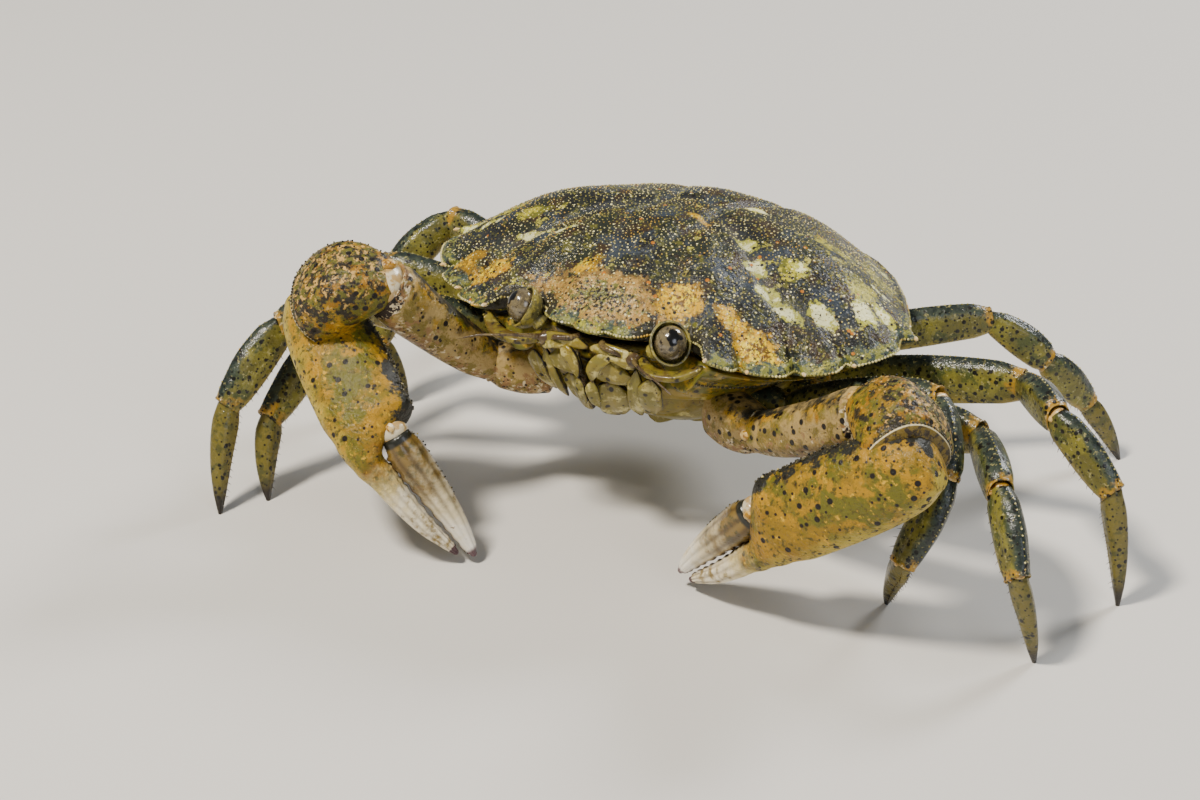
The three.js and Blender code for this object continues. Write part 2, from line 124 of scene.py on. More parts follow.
def linear(code):
    """An sRGB hex code as a linear colour with alpha."""
    channels = [int(code[start:start + 2], 16) / 255 for start in (0, 2, 4)]
    curved = [c / 12.92 if c <= 0.04045 else ((c + 0.055) / 1.055) ** 2.4 for c in channels]
    return (*curved, 1.0)


def start_material(name):
    """An empty material: its tree, its shader and the place on the crab in metres."""
    material = bpy.data.materials.new(name)
    material.use_nodes = True
    tree = material.node_tree
    place = add(tree, "TexCoord").outputs["Object"]
    return material, tree, tree.nodes["Principled BSDF"], place


# %% [markdown]
# ## Studio
# The floor is plain and pale, and the light is soft: a round softbox high on the left front, a
# weaker one from the right, and one from behind that draws the rim of the shell. The main box is kept
# small, because a wet shell mirrors it: a large box would lay a white haze over the dark colours.

# %% Floor and lights
floor_material, _, floor_shader, _ = start_material("matt painted studio floor")
floor_shader.inputs["Base Color"].default_value = linear("d9d6d0")
floor_shader.inputs["Roughness"].default_value = 0.75
floor_bm = bmesh.new()
bmesh.ops.create_grid(floor_bm, x_segments=2, y_segments=2, size=3.0)
floor_mesh = bpy.data.meshes.new("studio_floor")
floor_bm.to_mesh(floor_mesh)
floor_bm.free()
floor_mesh.materials.append(floor_material)
floor_object = bpy.data.objects.new("studio_floor", floor_mesh)
bpy.context.scene.collection.objects.link(floor_object)

# name, place in metres, size in metres, watts, warmth
SOFTBOXES = (
    ("key", (-0.22, -0.48, 0.88), 0.16, 15.0, "fff6e8"),
    ("fill", (0.80, -0.45, 0.45), 0.50, 2.5, "eaf0ff"),
    ("rim", (0.25, 0.75, 0.60), 0.30, 7.0, "ffffff"),
)
for name, place, size, watts, warmth in SOFTBOXES:
    light = bpy.data.lights.new(name, "AREA")
    light.shape = "DISK"
    light.size = size
    light.energy = watts
    light.color = linear(warmth)[:3]
    lamp = bpy.data.objects.new(name, light)
    lamp.location = place
    lamp.rotation_mode = "QUATERNION"
    lamp.rotation_quaternion = (-Vector(place)).to_track_quat("-Z", "Y")
    bpy.context.scene.collection.objects.link(lamp)

world = bpy.data.worlds.new("studio")
world.use_nodes = True
world.node_tree.nodes["Background"].inputs["Color"].default_value = linear("dfe5ea")
world.node_tree.nodes["Background"].inputs["Strength"].default_value = 0.26
bpy.context.scene.world = world
print("softboxes:", len(SOFTBOXES))

# %% [markdown]
# ## Pattern helpers
# A crab's colours are laid over each other like coats of paint: a dark ground, ragged patches, then
# spots. Each coat is a mask and a colour. The masks come from two textures. Noise over a threshold
# gives ragged patches, and the nearest-point distance of a Voronoi texture gives round spots. The
# scale of each is one over its real size, so a size in millimetres can be read off the crab.
# A third kind of mask starts from a mark: a number stored on each vertex of a plate, such as how near
# it is to the upper edge. Noise added to a mark makes its border ragged. Each helper returns a recipe,
# which adds its nodes only when a material is made from it. So the palettes below read as plain lists.

# %% Patches, spots and coats
RAGGED_DETAIL, RAGGED_ROUGHNESS = 6.0, 0.62
SPOT_SOFTNESS = 0.2  # share of a spot's radius over which it fades, inwards and outwards


def made(tree, place, mask):
    """A mask as the graph takes it: the name of a mark, a recipe to follow, or a plain number."""
    if isinstance(mask, str):
        return (tree.nodes.get(mask) or add(tree, "Attribute", attribute_name=mask, name=mask)).outputs["Fac"]
    return mask(tree, place) if callable(mask) else mask


def between(value, low, high):
    """A soft step from 0 at the low value to 1 at the high one."""
    return lambda tree, place: add(
        tree, "MapRange", {"Value": made(tree, place, value), "From Min": low, "From Max": high},
        interpolation_type="SMOOTHSTEP",
    ).outputs[0]


def combined(operation, *masks):
    """Masks, marks and numbers joined by one step of arithmetic."""
    return lambda tree, place: add(
        tree, "Math", {slot: made(tree, place, mask) for slot, mask in enumerate(masks)}, operation=operation,
    ).outputs[0]


def times(first, second):
    """One mask where the other lets it show."""
    return combined("MULTIPLY", first, second)


def patches(size, level, seed, soft=0.045, lift=None, reach=1.0):
    """Ragged patches about `size` mm across, where noise and the lifting mark pass the level."""
    def noise(tree, place):
        """The plain noise before it is lifted."""
        return add(
            tree, "TexNoise",
            {"Vector": place, "Scale": 1 / (size * MM), "Detail": RAGGED_DETAIL,
             "Roughness": RAGGED_ROUGHNESS, "W": seed},
            noise_dimensions="4D",
        ).outputs[0]
    lifted = noise if lift is None else combined("MULTIPLY_ADD", lift, reach, noise)
    return between(lifted, level - soft, level + soft)


def spots(spacing, radius, offset=0.0):
    """Round spots up to `radius` mm across the middle, scattered about `spacing` mm apart."""
    def distance(tree, place):
        """How far each place is from the middle of the nearest spot."""
        moved = add(tree, "Mapping", {"Vector": place, "Location": (offset, offset, offset)}).outputs[0]
        return add(tree, "TexVoronoi", {"Vector": moved, "Scale": 1 / (spacing * MM)}).outputs["Distance"]
    edge = radius / spacing
    return between(distance, edge * (1 + SPOT_SOFTNESS), edge * (1 - SPOT_SOFTNESS))


# %% A whole chitin from its coats
GLOSS_PATCH, GLOSS_SPREAD = 1.8, (-0.1, 0.12)  # size of the glossier patches, and how the gloss varies
DENTS = ((5, 2.6), (1, 1))  # each relief's size and depth, as multiples of the grain's
SPECULAR, FILM_ROUGHNESS = 0.25, 0.12


def chitin(name, ground, coats, roughness, grain, depth, coat, more=None):
    """Wet chitin: coats laid over the ground, an uneven gloss, dents and grain in relief, a clear film."""
    material, tree, shader, place = start_material(name)
    colour = linear(ground)
    for mask, code in coats:
        colour = add(tree, "Mix", {0: made(tree, place, mask), 6: colour, 7: linear(code)},
                     data_type="RGBA").outputs[2]
    gloss = add(tree, "TexNoise", {"Vector": place, "Scale": 1 / (GLOSS_PATCH * MM), "Detail": 3.0})
    rough = add(
        tree, "MapRange",
        {"Value": gloss.outputs[0], "From Min": 0.3, "From Max": 0.7,
         "To Min": roughness + GLOSS_SPREAD[0], "To Max": roughness + GLOSS_SPREAD[1]},
    )
    relief = {}
    for wider, deeper in DENTS:
        noise = add(tree, "TexNoise", {"Vector": place, "Scale": 1 / (grain * wider * MM), "Detail": 4.0})
        bump = add(tree, "Bump", {"Height": noise.outputs[0], "Distance": depth * deeper * MM,
                                  "Strength": 1.0, **relief})
        relief = {"Normal": bump.outputs[0]}
    for socket, source in (("Base Color", colour), ("Roughness", rough.outputs[0]),
                           ("Normal", relief["Normal"]), ("Coat Normal", relief["Normal"])):
        tree.links.new(source, shader.inputs[socket])
    constants = {"Specular IOR Level": SPECULAR, "Coat Weight": coat, "Coat Roughness": FILM_ROUGHNESS,
                 **(more or {})}
    for socket, value in constants.items():
        shader.inputs[socket].default_value = value
    return material


# %% [markdown]
# ## Shell chitin
# The top of the shell is thick chitin hardened with chalk, and its colour lies under a thin clear
# layer. The eye reads a blue-black and olive ground, ochre where the shell turns to the front, a rosy
# tan between the eyes, and whitish lichen-like patches along the groove. Painting each patch by hand
# would fix its border, so marks only say where a colour tends to be, and noise draws the border.

# %% Material: mottled shell chitin
shell_chitin = chitin("mottled shell chitin, wet", "171817", [
    (patches(7, 0.50, seed=1), "22271c"),
    (patches(6, 0.56, seed=2), "2f3740"),
    (patches(4, 0.55, seed=3), "36291a"),
    (patches(1.5, 0.59, seed=4), "55541f"),
    (patches(0.9, 0.63, seed=22), "8c8030"),
    (patches(2.6, 0.78, seed=5, lift="olive", reach=0.44), "66661f"),
    (patches(1.1, 0.80, seed=6, lift="olive", reach=0.38), "b3aa2e"),
    (patches(3.0, 0.78, seed=7, lift="rosy", reach=0.50), "7d6130"),
    (patches(1.2, 0.76, seed=8, lift="rosy", reach=0.38), "ab8640"),
    (patches(0.55, 0.82, seed=16, lift="rosy", reach=0.30), "c8ab6e"),
    (patches(1.0, 0.86, seed=20, lift="rosy", reach=0.36), "6c6c30"),
    (patches(0.5, 0.84, soft=0.03, seed=21, lift="rosy", reach=0.32), "1d1814"),
    (patches(2.4, 0.80, seed=9, lift="ochre", reach=0.52), "8f6c0c"),
    (patches(1.6, 0.80, seed=10, lift="ochre", reach=0.44), "d2a200"),
    (patches(0.8, 0.86, seed=17, lift="ochre", reach=0.38), "f4d400"),
    (patches(0.6, 0.84, soft=0.03, seed=23, lift="ochre", reach=0.34), "6a4c10"),
    (patches(1.8, 0.80, seed=11, lift="rim", reach=0.34), "3d4a40"),
    (patches(0.9, 0.86, seed=12, lift="rim", reach=0.36), "7c7d38"),
    (patches(1.5, 0.80, seed=13, lift="pale", reach=0.50), "b0ae38"),
    (patches(1.1, 0.84, seed=14, lift="pale", reach=0.46), "efeeb4"),
    (patches(2.2, 0.64, soft=0.03, seed=15), "b0a842"),
    # A dark band round each eye notch: on top it is the shell's own dark margin, and carried under the edge
    # over the eye it is painted shade.
    (patches(1.2, 0.85, seed=18, lift="hood", reach=0.60), "2e2c20"),
    (times("groove", 0.4), "4f565c"),
    (patches(0.45, 0.60, soft=0.03, seed=19), "171412"),
    (spots(1.3, 0.26), "15110e"),
    (spots(1.2, 0.16, offset=0.013), "e9e0a4"),
    (spots(3.5, 0.30, offset=0.029), "b06a08"),
], roughness=0.42, grain=0.45, depth=0.2, coat=0.24)

# %% [markdown]
# ## Chitin of the limbs and the belly
# The limbs share one recipe: a ground, paler towards the lower edge, a dark ridge along the upper
# edge, and black spots. Marks carry it along a limb: `upper` is 1 on the upper edge and -1 on the
# lower, and `along` runs from a plate's near end to its far one. Others say where a single feature
# lies, such as the `bare` skin-like faces of the arm or the white `finger`. A reach below zero turns a
# mark round, so lifting by `upper` with -0.65 gathers patches on the lower edge.

# %% Material: claw chitin
claw_chitin = chitin("ochre claw chitin, pitted and wet", "8a6c14", [
    (patches(6, 0.50, seed=21), "646018"),
    (patches(3.5, 0.54, seed=22), "a67d12"),
    (patches(4, 1.08, soft=0.12, seed=23, lift="along", reach=0.55), "8c5f12"),
    (patches(5, 1.00, soft=0.15, seed=24, lift="upper", reach=-0.65), "b09a35"),
    (patches(5, 1.36, soft=0.12, seed=25, lift="upper", reach=-0.75), "d4c27c"),
    (patches(0.7, 0.57, soft=0.05, seed=26), "524916"),
    (patches(0.9, 0.62, soft=0.05, seed=27), "caa02a"),
    (patches(2.6, 0.84, seed=28, lift="mottle", reach=0.32), "94680c"),
    (patches(1.8, 0.80, seed=29, lift="mottle", reach=0.30), "2a251b"),
    (patches(1.2, 0.86, seed=30, lift="mottle", reach=0.30), "5f5c22"),
    (patches(0.8, 0.88, seed=36, lift="mottle", reach=0.28), "c79f55"),
    (patches(1.8, 1.16, seed=31, lift="upper", reach=0.80), "25251f"),
    (patches(3.0, 0.74, soft=0.10, seed=32, lift="bare", reach=0.46), "ab9159"),
    (patches(2.0, 0.80, seed=39, lift="bare", reach=0.36), "7b6a2c"),
    (patches(1.2, 0.84, seed=33, lift="bare", reach=0.34), "8f6c44"),
    (patches(0.9, 0.88, seed=37, lift="bare", reach=0.32), "ddcba2"),
    (patches(0.6, 0.91, soft=0.03, seed=40, lift="bare", reach=0.34), "2b211b"),
    (spots(2.0, 0.44), "15100c"),
    (spots(1.4, 0.22, offset=0.017), "1f1510"),
    (patches(2.0, 1.00, soft=0.30, seed=34, lift="finger", reach=0.85), "d6c386"),
    (patches(2.0, 1.25, soft=0.25, seed=38, lift="finger", reach=0.90), "f1e8cf"),
    (patches(1.3, 1.44, soft=0.10, seed=46, lift="finger", reach=0.90), "94804c"),
    (times("finger", times("groove", 0.8)), "6f5630"),
    (patches(1.2, 1.04, soft=0.08, seed=35, lift="end", reach=0.70), "553f42"),
    ("tooth", "3a1d17"),
    (between("cap", 0.06, 0.12), "d9cba0"),
    (between("cap", 0.17, 0.24), "6d5a20"),
    (times(between("cap", 0.17, 0.24), patches(1.0, 0.53, seed=45)), "33291a"),
], roughness=0.44, grain=0.38, depth=0.18, coat=0.14)

# %% Material: finger chitin
finger_chitin = chitin("porcelain-like finger chitin", "7f6732", [
    (patches(1.4, 0.54, seed=41), "574d26"),
    (patches(3, 0.88, soft=0.18, seed=42, lift="along", reach=0.9), "dfd0a8"),
    (patches(4, 1.15, soft=0.15, seed=43, lift="along", reach=0.95), "f6f0e2"),
    (times("groove", between("along", 0.8, 0.30)), "45331b"),
    (patches(0.8, 0.66, soft=0.03, seed=44), "76582e"),
    (between("along", 0.80, 0.93), "5a4046"),
    (between("along", 0.07, 0.03), "22231c"),
    ("tooth", "3a1d17"),
], roughness=0.3, grain=0.5, depth=0.05, coat=0.45)

# %% Material: leg chitin
plate_end = combined("SUBTRACT", "along", "last")  # no such end on the foot, which is the last plate
leg_chitin = chitin("olive leg chitin, speckled and wet", "605b26", [
    (patches(5, 0.52, seed=51), "78722c"),
    (patches(3, 0.56, seed=52), "454b24"),
    (patches(4, 0.95, soft=0.15, seed=53, lift="upper", reach=-0.7), "948230"),
    (patches(4, 1.30, soft=0.15, seed=54, lift="upper", reach=-0.8), "b79d5c"),
    (patches(3, 1.02, soft=0.1, seed=55, lift="upper", reach=0.75), "394235"),
    (patches(1.5, 1.30, soft=0.08, seed=56, lift="upper", reach=0.9), "222a25"),
    (patches(0.6, 0.61, soft=0.04, seed=57), "98905a"),
    (patches(0.7, 0.60, soft=0.04, seed=58), "2b3022"),
    (times("last", 0.85), "6a5f24"),
    (times("last", patches(1.5, 0.55, seed=60)), "4c4a22"),
    (patches(2, 1.46, soft=0.08, seed=59, lift=plate_end, reach=1.0), "a37c20"),
    (patches(0.8, 1.60, soft=0.05, seed=50, lift=plate_end, reach=1.0), "dccb98"),
    (times("last", between("along", 0.62, 0.90)), "1f1811"),
    (spots(1.3, 0.33), "12110c"),
    (spots(0.8, 0.17, offset=0.011), "15140e"),
], roughness=0.34, grain=0.4, depth=0.10, coat=0.4)

# %% Material: belly chitin
belly_chitin = chitin("cream belly chitin, thin and smooth", "7d702e", [
    (patches(6, 0.53, seed=61), "746b28"),
    (patches(2, 0.57, seed=62), "b9ad6c"),
    (patches(5, 0.62, soft=0.12, seed=67, lift="wall", reach=0.55), "8a7312"),
    (patches(2.5, 0.90, soft=0.08, seed=68, lift="wall", reach=0.42), "5c5a1c"),
    (patches(1.5, 0.92, seed=69, lift="wall", reach=0.36), "b08a1e"),
    (patches(1.0, 0.94, seed=70, lift="wall", reach=0.36), "2b2a1c"),
    # These three darker coats follow a mark that holds painted shade under the shell's edge, in the eye
    # sockets, under the mouth and round the mouthparts, along with the dark ridge line, the seams and the
    # steps of the tail.
    (patches(4, 0.84, soft=0.12, seed=63, lift="stain", reach=0.5), "766a1e"),
    (patches(1.6, 1.00, soft=0.08, seed=64, lift="stain", reach=0.55), "5a481c"),
    (patches(1.2, 1.12, soft=0.05, seed=65, lift="stain", reach=0.6), "25211a"),
    (patches(0.8, 0.62, soft=0.03, seed=66), "5f5128"),
    (spots(2.4, 0.38), "1d1812"),
    (spots(1.5, 0.16, offset=0.019), "1f1912"),
], roughness=0.34, grain=0.6, depth=0.06, coat=0.35)

# %% [markdown]
# ## Small finishes
# Joint skin is soft and wet, orange on the legs and white at the claws. Granules are solid chalk,
# ivory on the shell and dark on the claws. The eye is thousands of tiny lenses under a clear skin: it
# looks like polished horn with dark spots. Bristles are stiff brown chitin.

# %% Materials: joint skin, granules, eye and bristles
joint_skin = chitin("soft joint skin, wet", "a0741a", [
    (patches(1.5, 0.50, seed=71), "d3b069"),
    (patches(1.1, 0.58, seed=72), "7c4f10"),
    (patches(2.2, 0.60, seed=73), "efe3c4"),
], roughness=0.28, grain=0.5, depth=0.08, coat=0.5,
    more={"Subsurface Weight": 0.15, "Subsurface Radius": (0.0012, 0.0006, 0.0003)})

pale_skin = chitin("white joint skin, taut and wet", "cfc3a2", [
    (patches(1.5, 0.52, seed=74), "b3935c"),
], roughness=0.25, grain=0.6, depth=0.05, coat=0.5)

granule_chalk = chitin("ivory chalk granules", "d2c888", [
    (patches(5, 0.50, seed=75), "8f8846"),
    (patches(3, 0.58, seed=74), "c39a3c"),
    (patches(2, 0.63, seed=76), "efe9cf"),
], roughness=0.4, grain=0.3, depth=0.01, coat=0.2)

tip_chalk = chitin("cream chalk of the tooth tips", "e3c07c", [
    (patches(1, 0.55, seed=79), "f3e6c4"),
], roughness=0.3, grain=0.3, depth=0.01, coat=0.4)

dark_chalk = chitin("dark chalk granules", "23231c", [
    (patches(1.2, 0.52, seed=77), "4b452a"),
    (patches(0.9, 0.62, seed=78), "b9aa6c"),
], roughness=0.35, grain=0.3, depth=0.01, coat=0.3)

eye_horn = chitin("eye lenses under clear skin", "544a36", [
    (patches(1.1, 0.50, seed=81), "6d6248"),
    (patches(0.7, 0.58, seed=82), "2c251c"),
    (patches(0.35, 0.60, soft=0.04, seed=83), "857650"),
    (patches(0.9, 0.90, soft=0.06, seed=84, lift="pupil", reach=0.7), "080605"),
], roughness=0.2, grain=0.12, depth=0.008, coat=1.0, more={"Coat Roughness": 0.04})

stalk_chitin = chitin("eye stalk chitin, yellow", "96893c", [
    (patches(1.6, 0.50, seed=85), "625d38"),
    (patches(1.0, 0.60, seed=86), "3c3526"),
    (patches(0.5, 0.63, soft=0.03, seed=87), "cfc478"),
], roughness=0.3, grain=0.4, depth=0.06, coat=0.5)

feeler_chitin = chitin("brown feeler chitin, thin and wet", "4a3a26", [
    (patches(1.4, 0.52, seed=89), "6d5c36"),
    (patches(0.9, 0.60, seed=90), "2a2018"),
], roughness=0.32, grain=0.4, depth=0.04, coat=0.4)

bristle_horn = chitin("brown bristle chitin", "2c1f15", [
    (patches(2, 0.55, seed=88), "5a4428"),
], roughness=0.45, grain=0.5, depth=0.01, coat=0.1)
print("materials:", len(bpy.data.materials))

# %% [markdown]
# ## The body's own frame
# Sizes on the body are given in millimetres from the middle of the shell's margin, as one would
# measure a crab held level. The body then tips nose up and stands at its height. Every shape below is
# worked out in millimetres and brought down to metres once, when it becomes a piece.

# %% Body frame
BODY_HEIGHT = 30.3
NOSE_UP = math.radians(8)
STAND = np.array([-7.9, 4.4, 0.0])


def on_body(points):
    """Points measured on the level body, brought to where the crab stands."""
    x, y, z = np.moveaxis(np.asarray(points, float), -1, 0)
    cos, sin = math.cos(NOSE_UP), math.sin(NOSE_UP)
    return np.stack([x, y * cos + z * sin, -y * sin + z * cos + BODY_HEIGHT], -1) + STAND


def unit(vector):
    """The same direction with length one."""
    vector = np.asarray(vector, float)
    return vector / np.linalg.norm(vector, axis=-1, keepdims=True)


# %% [markdown]
# ## One sheet, bent
# A crab has no flat plates and no round tubes, so most primitives are of little help. A grid is: it is
# a sheet of even cells. Rolled up it is a limb, gathered to a point it is a dome, and folded under it is
# a shell with a rim. So one function makes a grid, bends it by a rule, welds its edges where they
# meet, and keeps the marks for the materials. Lofting through curves would be the other way, but
# a rule can carry ridges, grooves and teeth along with the form.

# %% Bent grids and finished pieces
def bent_grid(columns, rows, rule):
    """A grid bent by rule(around, along), which gives the points and the marks of each vertex."""
    bm = bmesh.new()
    bm.loops.layers.uv.new("Plate")
    bmesh.ops.create_grid(bm, x_segments=columns, y_segments=rows, size=0.5, calc_uvs=True)
    flat = np.array([vertex.co[:2] for vertex in bm.verts]) + 0.5
    points, marks = rule(flat[:, 0], flat[:, 1])
    layers = {name: bm.verts.layers.float.new(name) for name in marks}
    bm.verts.ensure_lookup_table()
    for index, vertex in enumerate(bm.verts):
        vertex.co = points[index]
        for name, layer in layers.items():
            vertex[layer] = marks[name][index]
    bmesh.ops.remove_doubles(bm, verts=bm.verts, dist=1e-4)
    bmesh.ops.dissolve_degenerate(bm, edges=bm.edges, dist=1e-5)
    bmesh.ops.recalc_face_normals(bm, faces=bm.faces)
    return bm


def settle(name, mesh, nodes=()):
    """Puts a finished mesh on the crab, in place of the nodes that it stands for."""
    piece = bpy.data.objects.new(name, mesh)
    bpy.context.scene.collection.objects.link(piece)
    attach(piece, BODY)
    if nodes:
        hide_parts(*nodes)


def keep(name, bm, material, nodes=()):
    """Turns a bmesh in millimetres into a finished piece in metres."""
    bmesh.ops.scale(bm, vec=(MM, MM, MM), verts=bm.verts)
    mesh = bpy.data.meshes.new(name)
    bm.to_mesh(mesh)
    bm.free()
    mesh.materials.append(material)
    mesh.shade_smooth()
    settle(name, mesh, nodes)


def wave(distance, width):
    """A smooth swelling: 1 in the middle and almost nothing past twice the width."""
    return np.exp(-(distance / width) ** 2)


def eased(value, low, high):
    """A soft step from 0 at low to 1 at high."""
    share = np.clip((value - low) / (high - low), 0, 1)
    return share * share * (3 - 2 * share)


def rounded_ends(along, part):
    """0 at both ends, rising like a quarter circle to 1 within that part of the length."""
    return np.sqrt(np.clip(np.minimum(along, 1 - along) / part, 0, 1))


def between_ends(place):
    """0 at both ends and 1 in the middle, full on most of the way."""
    return np.sin(math.pi * np.clip(place, 0, 1)) ** 0.5


def curve(share, start, end, slope_in, slope_out):
    """A cubic step from start to end that leaves and arrives with the given slopes."""
    return ((2 * share**3 - 3 * share**2 + 1) * start + (share**3 - 2 * share**2 + share) * slope_in
            + (3 * share**2 - 2 * share**3) * end + (share**3 - share**2) * slope_out)


# %% [markdown]
# ## Outline of the shell
# The shore crab is known by its outline: three lobes between the eyes, a notch for each eye, and five
# teeth on each side that point forwards. The outline is written as its turning points for one half,
# and mirrored. The teeth fade towards the middle of the shell, so a second, evened outline is made
# from the first, and each ring of the shell is a blend of the two.

# %% Outline
# x, y and z of each turning point of the left half
FRONT_LOBES = [(0, -27.9, 0.5), (1.6, -27.5, 0.5), (2.6, -26.7, 0.6), (4.6, -27.1, 0.6),
               (6.2, -26.8, 0.7), (7.5, -25.9, 0.8)]
ORBIT_MIDDLE, ORBIT_REACH, ORBIT_HEIGHT = (12.2, -25.6), (4.5, 2.9), 0.9
ORBIT_STEPS = 5
TEETH = [(17.7, -25.8, -0.3), (22.0, -21.5, -2.0), (28.2, -16.6, -2.1), (33.6, -12.6, -0.6),
         (38.0, -2.8, 1.9)]
TOOTH_SIDE = ((0.3, 1.0), (0.62, 0.95), (0.88, -1.5))  # share of the way to the next tip, and outwards
REAR = [(36.0, -0.3, 2.1), (33.6, 4.6, 2.4), (29.6, 11.6, 2.8), (24.8, 18.6, 3.0), (20.0, 24.0, 3.0),
        (16.4, 26.7, 3.0), (12.0, 27.6, 3.0), (6.0, 27.9, 3.0), (0, 27.8, 3.0)]
EVENING = 6  # how many times the second outline is evened
ROUNDING = 0.6  # 0 keeps the outline's corners, 1 rounds them all


def orbit_notch():
    """The edge of the shell where it arches over the eye."""
    points = []
    for step in range(1, ORBIT_STEPS + 1):
        angle = math.pi * (1 - step / (ORBIT_STEPS + 1))
        points.append((ORBIT_MIDDLE[0] + ORBIT_REACH[0] * math.cos(angle),
                       ORBIT_MIDDLE[1] + ORBIT_REACH[1] * math.sin(angle), ORBIT_HEIGHT))
    return points


def toothed_edge():
    """Each tooth's tip, its bulging outer side, then the notch before the next."""
    points = [TEETH[0]]
    for here, there in zip(TEETH, TEETH[1:]):
        here, there = np.array(here), np.array(there)
        step = there - here
        out = np.array([step[1], -step[0], 0]) / math.hypot(step[0], step[1])
        points += [tuple(here + step * share + out * away) for share, away in TOOTH_SIDE]
        points.append(tuple(there))
    return points


half_outline = FRONT_LOBES + orbit_notch() + toothed_edge() + REAR
OUTLINE = np.array(half_outline + [(-x, y, z) for x, y, z in half_outline[-2:0:-1]])
EVEN = OUTLINE
for _ in range(EVENING):
    EVEN = (np.roll(EVEN, 1, 0) + 2 * EVEN + np.roll(EVEN, -1, 0)) / 4


def along_outline(line, around):
    """The place on a closed outline, from 0 to 1 round it."""
    count = len(line)
    index = around * count
    here = np.floor(index).astype(int)
    share = (index - here)[:, None]
    before, start, end, beyond = (line[(here + step) % count] for step in (-1, 0, 1, 2))
    straight = start + (end - start) * share
    curved = curve(share, start, end, (end - before) / 2, (beyond - start) / 2)
    return straight + (curved - straight) * ROUNDING


print("outline points:", len(OUTLINE), "shell width mm:", float(np.ptp(OUTLINE[:, 0])))

# %% [markdown]
# ## Relief and markings of the shell
# Under the shell lie the stomach, the heart and the gills, and each swells the shell over it. Furrows
# run between them, two of which make the H in the middle. Both are given as they lie on the left half
# and mirrored. The markings are laid out the same way: a spot, its reach across and along, and how
# strong it is. One side may differ from the other, as it does on a crab.

# %% Relief and markings
# x, y, reach across, reach along, height
SWELLINGS = (
    (4.2, -22.5, 3.0, 2.6, 0.55), (10.5, -15.5, 5.5, 5.5, 0.8), (0, -9.5, 3.8, 6.5, 0.5),
    (23.0, -17.0, 4.5, 3.0, 0.6), (22.0, 0.0, 8.5, 9.0, 0.8), (0, 9.0, 5.0, 4.5, 0.7),
    (14.0, 15.0, 7.0, 7.0, 0.5), (0, 20.0, 7.0, 3.5, 0.35), (30.0, -6.0, 3.5, 3.5, 0.4),
)
# turning points of the furrow, depth, width
FURROWS = (
    (((31, -8), (25.5, -12), (20.5, -12.6), (15.8, -9.8), (12.4, -6.6), (8.6, -3.6), (5, -1.2)), 0.75, 1.1),
    (((5.8, -7), (4.7, -2.5), (4.6, 2.5), (6.4, 7.5), (7.8, 12.5), (7.2, 18)), 0.8, 0.9),
    (((-4.8, 2.2), (0, 3.4), (4.8, 2.2)), 0.5, 0.8),
    (((5.8, -7), (3.6, -13), (1.0, -20)), 0.4, 0.7),
    (((15.4, -10), (16.6, -15), (15.2, -20.5)), 0.45, 0.9),
    (((18, -24.5), (20, -19.5), (20.5, -15)), 0.35, 0.8),
)
# x, y, reach across, reach along, strength: each one lies on one side only
SPOTS = {
    "ochre": ((-23.7, -17, 6, 2.6, 1), (-5, -19.8, 3.6, 2.0, 0.8), (10.2, -19.8, 4.4, 2.6, 1),
              (17.5, -19.0, 3.6, 2.2, 0.9), (22.5, -19.2, 6.0, 2.4, 1.1), (3.9, -4.8, 2.6, 1.2, 0.9),
              (-29, -13.5, 4, 2.2, 0.8), (-8, 14, 4, 2.5, 0.5), (-22, 12, 5, 3, 0.5)),
    "rosy": ((0, -23.6, 10.5, 4.0, 1.1), (9.0, -21.8, 5, 2.6, 0.7), (-9.5, -21.8, 5, 2.6, 0.8)),
    "olive": ((20.5, -7.5, 3.5, 2.5, 1), (29.0, -2.5, 4, 3.5, 1), (21.6, 2.5, 6, 3, 0.8),
              (27.0, 6.5, 6, 4, 0.9), (-22.6, -7, 4, 2, 1), (0, -27, 9, 1.6, 0.9), (-28, -4, 6, 3, 0.8),
              (-24, 8, 7, 5, 0.7), (8, 17, 6, 4, 0.7), (-10, 22, 7, 3, 0.7), (17, 22, 5, 3, 0.8),
              (14, -22, 3, 2, 0.6), (-15, -23, 4, 2, 0.8)),
    "pale": ((12.6, -6.5, 2.6, 1.3, 1), (15.7, -9.6, 2.0, 1.6, 1), (19.3, -12.1, 2.4, 1.2, 1),
             (22.9, -12.6, 2.8, 1.2, 1), (27.3, -10.2, 2.8, 1.5, 1.1), (31.2, -5.8, 2.4, 2.0, 1.1),
             (33.0, -3.0, 2.0, 1.4, 1), (7.9, 4.3, 3.2, 1.5, 1), (-35, -3.2, 4, 1.1, 1),
             (-29.5, -7, 3.5, 0.9, 0.8), (-18.6, -11.6, 3.6, 1.0, 1), (-13, -13.6, 3.6, 0.9, 0.9),
             (21, -6.5, 2.2, 1.4, 0.8), (30, 1.5, 3, 1.5, 0.8), (24, 14, 3, 2, 0.8), (-18, 3, 3, 1.4, 0.8),
             (-12, 17, 3, 2, 0.8), (5, 24.5, 5, 1.2, 0.7), (-28, 9, 2.4, 3, 0.8), (0, -27.3, 9, 0.8, 0.5)),
}


def distance_to(x, y, line):
    """Distance in the plane to a broken line."""
    nearest = np.full(x.shape, np.inf)
    for (ax, ay), (bx, by) in zip(line, line[1:]):
        run_x, run_y = bx - ax, by - ay
        share = np.clip(((x - ax) * run_x + (y - ay) * run_y) / (run_x**2 + run_y**2), 0, 1)
        nearest = np.minimum(nearest, np.hypot(x - ax - run_x * share, y - ay - run_y * share))
    return nearest


def hump(x, y, middle_x, middle_y, across, lengthwise):
    """1 at its middle and fading out over its two reaches."""
    return np.exp(-((x - middle_x) / across) ** 2 - ((y - middle_y) / lengthwise) ** 2)


def furrow_depth(x, y):
    """How deep the furrows are at a place, in millimetres."""
    depth = np.zeros(x.shape)
    for line, deep, width in FURROWS:
        depth = np.maximum(depth, deep * wave(distance_to(np.abs(x), y, line), width))
    return depth


